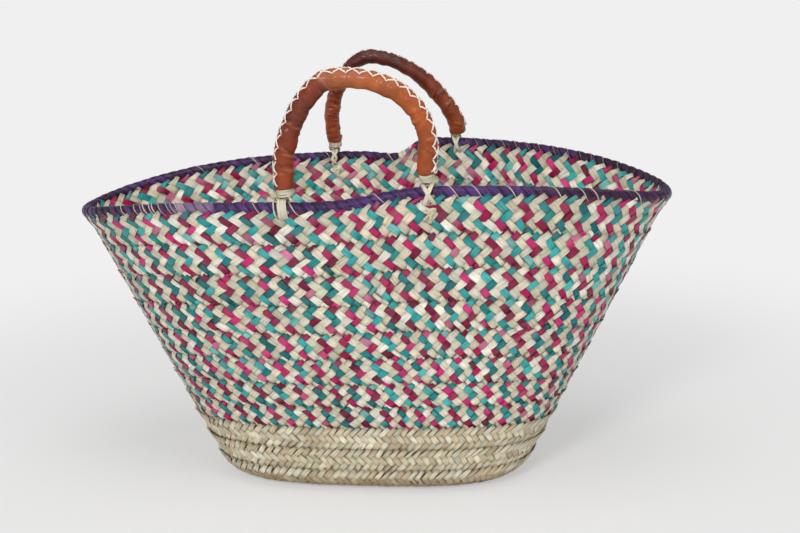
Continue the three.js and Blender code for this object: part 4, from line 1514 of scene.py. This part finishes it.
# the back sleeve's tones darken over the top of the arch: partly the leather's colour, partly painted shade
BACK_SLEEVE = SleeveLook(
    ((0.0, 7.9), (0.25, 7.9), (0.45, 7.1), (0.6, 7.1), (0.8, 8.4), (1.0, 8.6)), 2.0, (0.95, 0.3), 5.5,
    ((0.0, (150, 68, 36)), (0.15, (148, 64, 32)), (0.28, (118, 44, 24)), (0.42, (84, 28, 18)),
     (0.6, (84, 28, 14)), (0.72, (108, 38, 14)), (0.86, (144, 60, 24)), (1.0, (146, 64, 26))), 83, 4.5)


@dataclass
class CarryHandle:
    """One arched handle: palm rope in a laced leather sleeve, wound with strip at its bare ends."""

    place: HandlePlace
    look: SleeveLook
    finishes: Finishes
    stub_radius: float = 5.0
    stitches: int = 22
    stitch_swing: float = 0.42
    thread_radius: float = 0.66
    eye_radius: float = 8.3
    stub_low: float = 11.6
    neck_heights: tuple[float, ...] = (12.9, 14.6, 16.3, 18.0)

    ROWS = 360
    SIDES = 56
    CREASES = ((0.0, 0.3, 60), (0.3, 0.75, 36), (0.75, 1.0, 40))
    CALM_PART = (0.4, 0.75)
    CALM_DEPTH = 0.35
    LIP = 0.7
    GROOVE = 0.9
    PUCKER = 0.3
    LAP = 0.55
    END_ROUNDING = 0.7
    STUB_TOP = 26.0
    BIGHT_DEPTHS = (-1.25, 1.25)
    JOINT_EDGE = linear(214, 150, 116)
    THREAD = linear(248, 241, 232)
    ROPE = linear(214, 203, 168)
    BIGHT = linear(220, 211, 180)

    @property
    def word(self) -> str:
        """Front or back."""
        return self.place.end.word

    @property
    def body(self) -> str:
        """The CAD body that it moves with."""
        return f"{self.word}_handle"

    def _seam(self, share: Array) -> Array:
        """Where round the sleeve the seam lies, at a share of its length."""
        return mix(*self.look.seam, share)

    def _radius(self, share: Array) -> Array:
        """The sleeve's own radius at a share of its length."""
        places, radii = zip(*self.look.radii)
        return np.interp(share, places, radii)

    def _wrinkles(self, share: Array, turn: Array, rng: np.random.Generator) -> Array:
        """Sum of creases: each a narrow ridge across the sleeve beside a shallow dip, fading round it."""
        total = np.zeros(np.broadcast(share, turn).shape)
        calm_from, calm_to = self.CALM_PART
        for place in np.concatenate([rng.uniform(*spread) for spread in self.CREASES]):
            middle = rng.uniform(0.6, TAU - 0.2)
            slope = rng.normal(0.0, 0.008)
            width = rng.uniform(0.0028, 0.009)
            depth = rng.uniform(0.1, 0.62) * (self.CALM_DEPTH if calm_from < place < calm_to else 1.0)
            around = np.exp(-((np.angle(np.exp(1j * (turn - middle))) / rng.uniform(0.4, 1.1)) ** 2))
            gap = (share - place - slope * np.sin(turn - middle)) / width
            total += depth * around * (np.exp(-(gap**2)) - 0.8 * np.exp(-((gap - 1.5) ** 2)))
        return total

    def build_sleeve(self) -> None:
        """Makes the leather sleeve: a tube with a lipped seam, puckers at each stitch, creases and lumps.

        The radius is the sleeve's, plus two lips beside the seam, less a groove between them, less a pucker
        by the sine of the stitches, plus slow lumps and the creases; past the joint a second skin overlaps
        the first.
        """
        rng = np.random.default_rng(self.look.seed)
        sides = self.SIDES
        share = np.linspace(0.0, 1.0 + self.look.right_drop / self.place.length, self.ROWS)[:, None]
        turn = (np.arange(sides) / sides * TAU)[None]
        away = np.angle(np.exp(1j * (turn - self._seam(share))))
        stitch = np.cos(share * self.stitches * TAU)
        lips = self.LIP * np.exp(-((np.abs(away) - 0.13) / 0.1) ** 2)
        lips = lips - self.GROOVE * np.exp(-((away / 0.07) ** 2))
        near_holes = np.exp(-(((np.abs(away) - self.stitch_swing) / 0.12) ** 2))
        pucker = -self.PUCKER * (0.5 + 0.5 * stitch) * near_holes
        lumps = 0.4 * np.sin(share * 31.0 + 2.0 * np.sin(turn)) * np.sin(turn * 2.0 + 3.0 + share * 9.0)
        lumps += 0.3 * np.sin(share * 67.0 + turn) + 0.22 * np.sin(share * 118.0 + 2.0 * turn + 1.0)
        creases = self._wrinkles(share, turn, rng)
        joint = self.look.joint + 0.009 * np.sin(turn - 1.2)
        overlap = smooth(share - joint, -0.002, 0.002)
        lap = self.LAP * overlap * np.exp(-np.maximum(share - joint, 0.0) / 0.05)
        radius = self._radius(share) + lips + pucker + lumps + creases + lap
        end = np.minimum(share, share[-1] - share)
        radius = radius - self.END_ROUNDING * np.exp(-end / 0.004)
        points = self.place.around(np.broadcast_to(share, radius.shape),
                                   np.broadcast_to(turn, radius.shape), radius)
        caps = [self.place.around(np.full(sides, where), turn[0], np.full(sides, self.stub_radius + more))
                for where, more in ((0.02, -0.6), (0.0, 0.6), (float(share[-1, 0]), 0.6), (0.98, -0.6))]
        rings = np.concatenate([caps[0][None], caps[1][None], points, caps[2][None], caps[3][None]])
        places = [place for place, _ in self.look.tones]
        colours = np.array([linear(*colour) for _, colour in self.look.tones])
        dye = np.stack([np.interp(share - joint + self.look.joint, places, colours[:, k])
                        for k in range(3)], axis=-1)
        edge = np.exp(-(((share - joint) / 0.003) ** 2))
        dye = mix(dye, self.JOINT_EDGE, (edge * 0.6)[..., None])
        lay = np.zeros(rings.shape)
        lay[2:-2, :, 1] = np.clip(creases * 2.0 + lips * 0.7 + pucker, -1.0, 1.0)
        # the end rings take the dye at 0.4 and 0.6: painted shade at the sleeve's mouths
        dyes = np.concatenate([dye[:1] * 0.4, dye[:1] * 0.6, dye, dye[-1:] * 0.6, dye[-1:] * 0.4])
        pile = MeshPile()
        pile.add_tube(rings, dyes, lay)
        material = self.finishes.tan_leather if self.place.end is End.FRONT else self.finishes.brown_leather
        settle(pile.build(f"{self.word}_leather_sleeve"), material, self.body,
               (f"{self.word}_handle_leather",))

    def _thread(self, pile: MeshPile, share: Array, turn: Array, height: Array, chance: float) -> None:
        """Adds one thread over the sleeve, at shares, turns and heights above the leather."""
        path = self.place.around(share, turn, self._radius(share) + height)
        outward = unit(path - self.place.centre(share))
        rings = strip_rings(path, outward, self.thread_radius * 1.15, self.thread_radius, 6, 1.0)
        pile.add_tube(rings, self.THREAD, strip_lay(path, 6, chance))

    def build_lacing(self) -> None:
        """Makes the cross stitches: two threads that cross over the seam and dip at each hole."""
        pile = MeshPile()
        run = np.linspace(0.0, self.stitches, self.stitches * 8 + 1)
        share = 0.012 + 0.976 * run / self.stitches
        for thread in (0, 1):
            wave = run % 2.0
            swing = (2.0 * np.abs(wave - 1.0) - 1.0) * (1.0 - 2.0 * thread)
            hole = smooth(np.abs(swing), 0.8, 1.0)
            height = 0.75 + 0.55 * thread * (1.0 - np.abs(swing)) - 1.3 * hole
            self._thread(pile, share, self._seam(share) + self.stitch_swing * swing, height,
                         0.3 + 0.4 * thread)
        grow = np.linspace(0.0, 1.0, 16)
        share = 0.984 + 0.01 * np.sin(grow * TAU)
        turn = self._seam(share) + 0.2 * np.cos(grow * TAU)
        self._thread(pile, share, turn, 1.3 + 0.3 * grow, 0.8)
        settle(pile.build(f"{self.word}_cross_lacing"), self.finishes.thread, self.body,
               (f"{self.word}_handle_lacing",))

    def build_core(self) -> None:
        """Makes the rope's bare ends: a stub above each foot, and the bight that goes under the lashing."""
        pile = MeshPile()
        for hand in (-1, 1):
            foot = self.place.foot(hand)
            height = np.concatenate([[self.stub_low - 0.6], np.linspace(self.stub_low, self.STUB_TOP, 14)])
            turn = np.arange(20) / 20 * TAU
            radius = self.stub_radius * (0.95 + 0.07 * np.cos(5.0 * turn[None] + 0.12 * height[:, None]))
            radius[0] *= 0.75
            rings = foot + self.place.up * height[:, None, None]
            rings = rings + self.place.axis * (radius * np.cos(turn))[..., None]
            rings = rings + self.place.out * (radius * np.sin(turn))[..., None]
            path = foot + self.place.up * height[:, None]
            pile.add_tube(rings, self.ROPE, strip_lay(path, 20, 0.3 + 0.2 * hand))
            for depth in self.BIGHT_DEPTHS:
                sweep = np.linspace(-1.0, 1.0, 25)
                across = 5.0 * np.sign(sweep) * np.minimum(1.0, np.abs(sweep) * 1.5)
                rise = self.eye_radius + 6.5 * np.maximum(0.0, np.abs(sweep) - 0.5) ** 1.4 * 2.2
                path = foot + self.place.axis * across[:, None] + self.place.up * rise[:, None]
                path = path + self.place.out * depth
                outward = -self.place.up * (1.0 - np.abs(sweep) ** 3)[:, None]
                outward = outward + self.place.axis * (sweep**3)[:, None]
                rings = strip_rings(path, outward, 1.15, 0.5, 8)
                pile.add_tube(rings, self.BIGHT, strip_lay(path, 8, 0.6))
        settle(pile.build(f"{self.word}_rope_ends"), self.finishes.core, self.body,
               (f"{self.word}_handle_core",))

    def build_wraps(self) -> None:
        """Makes the necks: flat turns of palm strip stacked round each bare end, each tilted its own way.

        A turn's radius grows a little as it goes, so that its end laps its start, and its height changes by
        the cosine of the angle.
        """
        for hand, name in ((-1, "left"), (1, "right")):
            arch = self.place.arch
            shift = arch.left_shift if hand < 0 else arch.right_shift
            foot = self.place.foot(hand) + self.place.axis * shift
            dip = 1.5 if hand > 0 else 0.0
            pile = MeshPile()
            rng = np.random.default_rng(90 + hand + 5 * self.place.end.value)
            for number, height in enumerate(self.neck_heights):
                start = rng.uniform(0.0, TAU)
                angle = start + np.linspace(0.0, TAU * 1.1, 44)
                radius = self.look.neck_radius + 0.3 * (number % 2) + 0.6 * (angle - start) / TAU
                radius = radius + 0.15 * np.sin(3.0 * angle + number) - 0.35 * dip * (3 - number)
                level = height + rng.uniform(0.3, 0.6) * np.cos(angle - rng.uniform(0.0, TAU))
                level = level - dip * np.sin(angle) ** 2 + 0.6 * dip
                path = foot + self.place.up * level[:, None]
                outward = self.place.axis * np.cos(angle)[:, None] + self.place.out * np.sin(angle)[:, None]
                path = path + outward * radius[:, None]
                rings = strip_rings(path, outward, rng.uniform(0.95, 1.15), 0.5, 8)
                tone = linear(234, 225, 200) * rng.uniform(0.84, 1.05)
                pile.add_tube(rings, tone, strip_lay(path, 8, float(rng.random())))
            settle(pile.build(f"{self.word}_neck_wrap_{name}"), self.finishes.lashing, self.body,
                   (f"{self.word}_handle_wrap_{name}",))

    def build(self) -> None:
        """Makes the handle's pieces."""
        self.build_core()
        self.build_wraps()
        self.build_sleeve()
        self.build_lacing()


class LashStyle(Enum):
    """How a lashing's strips run round the rim."""

    STRAP = "strap"
    CROSSED = "crossed"
    TWISTED = "twisted"


# Angles in degrees, radii and places across of a strip's path, then its half width and half thickness
Loop = tuple[Array, Array, Array, float, float]


@dataclass
class Lashing:
    """The palm strips that hold one foot of a handle to the rim, with their knot."""

    place: HandlePlace
    hand: int
    style: LashStyle
    finishes: Finishes
    form: WallForm = field(default_factory=WallForm)
    loop_radius: float = 10.0
    pitch: float = 2.1
    loops: int = 4
    cross_reach: float = 4.6
    knot_drop: float = 15.2

    STRAP_START = 150.0
    LEVEL_PART = 160.0
    STEP_TURN = 40.0
    CROSS_WIDTH = 2.0
    TWIST_WIDTH = 1.7
    STRIP = linear(231, 223, 199)
    KNOT = linear(232, 224, 198)
    TAIL = linear(230, 220, 188)
    KNOT_OUT = 4.6
    KNOT_SIZES = (1.9, 1.1, 0.95)
    TAILS = 6

    @property
    def name(self) -> str:
        """Words for the foot, such as front_left."""
        return f"{self.place.end.word}_{'left' if self.hand < 0 else 'right'}"

    def _ring(self, angle: Array, radius: Array, across: Array) -> tuple[Array, Array]:
        """Points on a loop round the hinge axis, and the way out of it."""
        outward = self.place.upright * np.cos(angle)[:, None] + self.place.outward * np.sin(angle)[:, None]
        point = self.place.foot(self.hand) + outward * radius[:, None]
        return point + self.place.axis * across[:, None], outward

    def _strap(self) -> list[Loop]:
        """Side by side loops that step across inside the wall, and one thin loose strand beside them."""
        first = self.STRAP_START * self.hand
        middle = (self.loops - 1) / 2 if self.hand < 0 else (self.loops + 1) / 2
        turn = np.linspace(first, first + 360.0 * self.loops, self.loops * 40 + 1)
        past = turn - self.LEVEL_PART
        whole = np.floor(past / 360.0)
        stepped = np.minimum(1.0, (past - whole * 360.0) / self.STEP_TURN)
        across = (whole + stepped - middle) * self.pitch
        radius = self.loop_radius + 0.14 * np.sin(np.radians(turn * 2.0)) + 0.2 * (whole % 2)
        loose = np.linspace(-60.0, 150.0, 32)
        bow = 1.3 * np.sin(np.radians(loose + 60.0) * 180.0 / 210.0)
        return [(turn, radius, across, 1.18, 0.42),
                (loose, self.loop_radius - 1.3 + bow, -6.6 - 0.8 * bow, 0.6, 0.4)]

    def _crossed(self) -> list[Loop]:
        """Two loops that each swing from one side to the other where they show, and so make an X."""
        turn = np.linspace(-175.0, 185.0, 73)
        swing = smooth(turn, 10.0, 150.0) * 2.0 - 1.0
        back = 1.0 - 2.0 * smooth(turn, 150.0, 185.0)
        near = np.exp(-(((turn - 81.0) / 38.0) ** 2))
        front = self.place.end is End.FRONT
        reach = self.cross_reach if front else 0.65 * self.cross_reach
        loops = []
        for side in (-1.0, 1.0):
            across = side * reach * np.where(turn > 150.0, back, np.where(turn < -140.0, -1.0, swing))
            facing = turn if front else -turn
            radius = self.loop_radius + side * 0.48 * near
            loops.append((facing, radius, across * (1.0 - 0.25 * near), self.CROSS_WIDTH, 0.4))
        return loops

    def _twisted(self) -> list[Loop]:
        """Two loops that turn about each other as they go round the rim."""
        turn = np.linspace(-175.0, 185.0, 81)
        loops = []
        for side in (-1.0, 1.0):
            angle = np.radians(turn * 4.0)
            across = side * 2.1 * np.cos(angle) + 1.5 * np.cos(np.radians(turn))
            radius = self.loop_radius + 0.3 + side * 0.6 * np.sin(angle)
            loops.append((turn, radius, across, self.TWIST_WIDTH, 0.4))
        return loops

    def build_loops(self) -> None:
        """Makes the loops round the rim, each a strip along (angle, radius, place across)."""
        rng = np.random.default_rng(11 * self.hand + 7 * self.place.end.value + 60)
        makers = {LashStyle.STRAP: self._strap, LashStyle.CROSSED: self._crossed,
                  LashStyle.TWISTED: self._twisted}
        pile = MeshPile()
        for turn, radius, across, half_width, half_thick in makers[self.style]():
            path, outward = self._ring(np.radians(turn), radius, across)
            width = half_width * (1.0 + 0.07 * np.sin(np.radians(turn * 0.8)))
            tone = self.STRIP * rng.uniform(0.9, 1.03)
            pile.add_tube(strip_rings(path, outward, width, half_thick, 8), tone,
                          strip_lay(path, 8, float(rng.random())))
        settle(pile.build(f"lashing_{self.name}"), self.finishes.lashing, "basket",
               (f"tie_{self.name}",))

    def build_knot(self) -> None:
        """Makes the knot: a flat trefoil with frayed tails, inside at the left and outside at the right.

        The trefoil is (sine t plus two sine 2t, cosine t less two cosine 2t, minus sine 3t), scaled.
        """
        rng = np.random.default_rng(5 * self.hand + 3 * self.place.end.value + 40)
        foot = self.place.foot(self.hand)
        angle = math.atan2(foot[1] / self.form.rim_half_width, foot[0] / self.form.rim_half_length)
        _, normal, up = self.form.rim(np.array([angle]))
        normal, up = normal[0], up[0]
        sign = -1.0 if self.hand < 0 else 1.0
        across = unit(np.cross(up, normal))
        centre = foot - up * self.knot_drop + normal * sign * self.KNOT_OUT
        t = np.linspace(0.0, TAU, 72, endpoint=False)
        u = np.sin(t) + 2.0 * np.sin(2.0 * t)
        w = np.cos(t) - 2.0 * np.cos(2.0 * t)
        d = -np.sin(3.0 * t)
        wide, high, deep = self.KNOT_SIZES
        path = centre + across * (u * wide)[:, None] + up * (w * high)[:, None]
        path = path + normal * (d * deep)[:, None]
        outward = unit(normal * sign + unit(path - centre) * 0.5)
        pile = MeshPile()
        rings = strip_rings(path, outward, 1.35, 0.62, 8, 0.8, closed=True)
        lay = strip_lay(path, 8, 0.4)
        pile.add_tube(rings, self.KNOT, lay, closed=True)
        for tail in range(self.TAILS):
            grow = np.linspace(0.0, 1.0, 10)
            lean = rng.uniform(-0.9, 0.35) if tail else -0.7
            length = rng.uniform(5.0, 11.0)
            curl = rng.uniform(-1.5, 1.5)
            path = centre - up * (1.5 + length * grow * math.cos(lean))[:, None]
            path = path + across * (length * grow * math.sin(lean) + curl * grow**2)[:, None]
            path = path + normal * sign * (0.4 + 1.3 * np.sin(grow * 2.4) * rng.uniform(0.3, 1.0))[:, None]
            width = rng.uniform(0.5, 1.1) * (1.0 - 0.6 * grow)
            rings = strip_rings(path, np.broadcast_to(normal * sign, path.shape), width, 0.22, 6)
            pile.add_tube(rings, self.TAIL, strip_lay(path, 6, float(rng.random())))
        settle(pile.build(f"lashing_knot_{self.name}"), self.finishes.lashing, "basket",
               (f"knot_{self.name}",))

    def build(self) -> None:
        """Makes the loops and the knot."""
        self.build_loops()
        self.build_knot()


# Studio


def placed(turned: Array, place: tuple[float, float, float]) -> Matrix:
    """Matrix that turns by three column vectors and moves to a place."""
    return Matrix([(*row, p) for row, p in zip(turned.tolist(), place)] + [(0, 0, 0, 1)])


@dataclass(frozen=True)
class Lamp:
    """A square lamp: its place and side in metres, and its power in watts."""

    name: str
    place: tuple[float, float, float]
    size: float
    power: float


LAMPS = (
    Lamp("key_lamp", (-0.5, -2.4, 1.7), 0.6, 39.0),
    Lamp("fill_lamp", (2.2, -1.6, 1.3), 1.6, 14.0),
    Lamp("top_lamp", (0.1, -0.4, 2.4), 1.4, 17.5),
)


@dataclass
class Studio:
    """The plain floor, the soft light and the camera at the photograph's angle."""

    camera_place: tuple[float, float, float] = (0.1913, -1.3889, 0.5645)
    forward: tuple[float, float, float] = (-0.1137, 0.9618, -0.2490)
    roll_degrees: float = 1.38
    lens: float = 63.84
    floor_half: float = 14.0
    glow_range: tuple[float, float] = (0.25, 1.0)
    lamp_aim: tuple[float, float, float] = (0.0, 0.0, 0.2)
    world_colour: tuple[float, float, float] = (0.96, 0.97, 1.0)
    world_strength: float = 0.31
    seen_strength: float = 0.56

    SENSOR_WIDTH = 36.0
    FLOOR_PAINT = linear(232, 231, 229)
    FLOOR_GLOW = linear(240, 240, 240)

    def build_floor(self) -> None:
        """Makes the floor, a flat pale square that lies just under the basket."""
        half = self.floor_half
        mesh = bpy.data.meshes.new("pale_floor")
        mesh.from_pydata([(-half, -half, 0.0), (half, -half, 0.0), (half, half, 0.0), (-half, half, 0.0)],
                         [], [(0, 1, 2, 3)])
        floor = bpy.data.objects.new("pale_floor", mesh)
        bpy.context.scene.collection.objects.link(floor)
        recipe = Recipe("pale_floor_paint")
        recipe.set(Base_Color=self.FLOOR_PAINT, Roughness=0.85)
        place = recipe.node("ShaderNodeTexCoord", {}, {}, "Object")
        distance = recipe.node("ShaderNodeVectorMath", {"operation": "LENGTH"}, {0: place}, "Value")
        rising = 0.5 + distance.step(*self.glow_range) * 0.5
        recipe.glow(self.FLOOR_GLOW, recipe.seen() * rising)
        mesh.materials.append(recipe.material)

    def build_light(self) -> None:
        """Adds a key lamp, a fill from the right, a lamp over the basket and an even pale world."""
        for lamp in LAMPS:
            light = bpy.data.lights.new(lamp.name, "AREA")
            light.size = lamp.size
            light.energy = lamp.power
            holder = bpy.data.objects.new(lamp.name, light)
            back = unit(np.array(lamp.place) - np.array(self.lamp_aim))
            right = unit(np.cross([0.0, 0.0, 1.0], back))
            turned = np.stack([right, np.cross(back, right), back], axis=1)
            holder.matrix_world = placed(turned, lamp.place)
            bpy.context.scene.collection.objects.link(holder)
        world = bpy.data.worlds.new("pale_world")
        world.use_nodes = True
        background = world.node_tree.nodes["Background"]
        background.inputs["Color"].default_value = (*self.world_colour, 1.0)
        sheet = NodeSheet(world.node_tree)
        camera_ray = sheet.node("ShaderNodeLightPath", {}, {}, "Is Camera Ray")
        sheet.feed(background.inputs["Strength"], camera_ray * self.seen_strength + self.world_strength)
        bpy.context.scene.world = world

    def build_camera(self) -> None:
        """Places the camera from its point, its forward direction and its roll."""
        forward = unit(np.array(self.forward))
        level_right = unit(np.cross(forward, [0.0, 0.0, 1.0]))
        level_up = np.cross(level_right, forward)
        roll = math.radians(self.roll_degrees)
        right = level_right * math.cos(roll) - level_up * math.sin(roll)
        up = level_right * math.sin(roll) + level_up * math.cos(roll)
        camera = bpy.data.cameras.new("photo_camera")
        camera.sensor_fit = "HORIZONTAL"
        camera.sensor_width = self.SENSOR_WIDTH
        camera.lens = self.lens
        holder = bpy.data.objects.new("photo_camera", camera)
        holder.matrix_world = placed(np.stack([right, up, -forward], axis=1), self.camera_place)
        bpy.context.scene.collection.objects.link(holder)
        bpy.context.scene.camera = holder

    def build(self) -> None:
        """Makes the stage, and sets the plain view transform."""
        self.build_camera()
        self.build_floor()
        self.build_light()
        bpy.context.scene.view_settings.view_transform = "Standard"


def handle_place(record: dict, end: End) -> HandlePlace:
    """Reads a handle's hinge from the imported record.

    Args:
        record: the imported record.
        end: which handle.

    Returns:
        The handle's place.
    """
    joint = next(j for j in record["behaviour"]["joints"] if j["name"] == f"{end.word}_handle_swing")
    middle, axis = np.array(joint["pos_m"]) / MM, np.array(joint["axis"], dtype=float)
    return HandlePlace(end, middle, axis, FRONT_ARCH if end is End.FRONT else BACK_ARCH)


def main() -> None:
    """Builds the stage and the basket."""
    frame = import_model()
    Studio().build()
    finishes = Finishes()
    PlaitedBody(finishes).build()
    WhippedRim(finishes).build()
    styles = {End.FRONT: (LashStyle.STRAP, LashStyle.CROSSED),
              End.BACK: (LashStyle.TWISTED, LashStyle.CROSSED)}
    for end in End:
        place = handle_place(frame["record"], end)
        CarryHandle(place, FRONT_SLEEVE if end is End.FRONT else BACK_SLEEVE, finishes).build()
        for hand, style in zip((-1, 1), styles[end]):
            Lashing(place, hand, style, finishes).build()


if __name__ == "__main__":
    main()
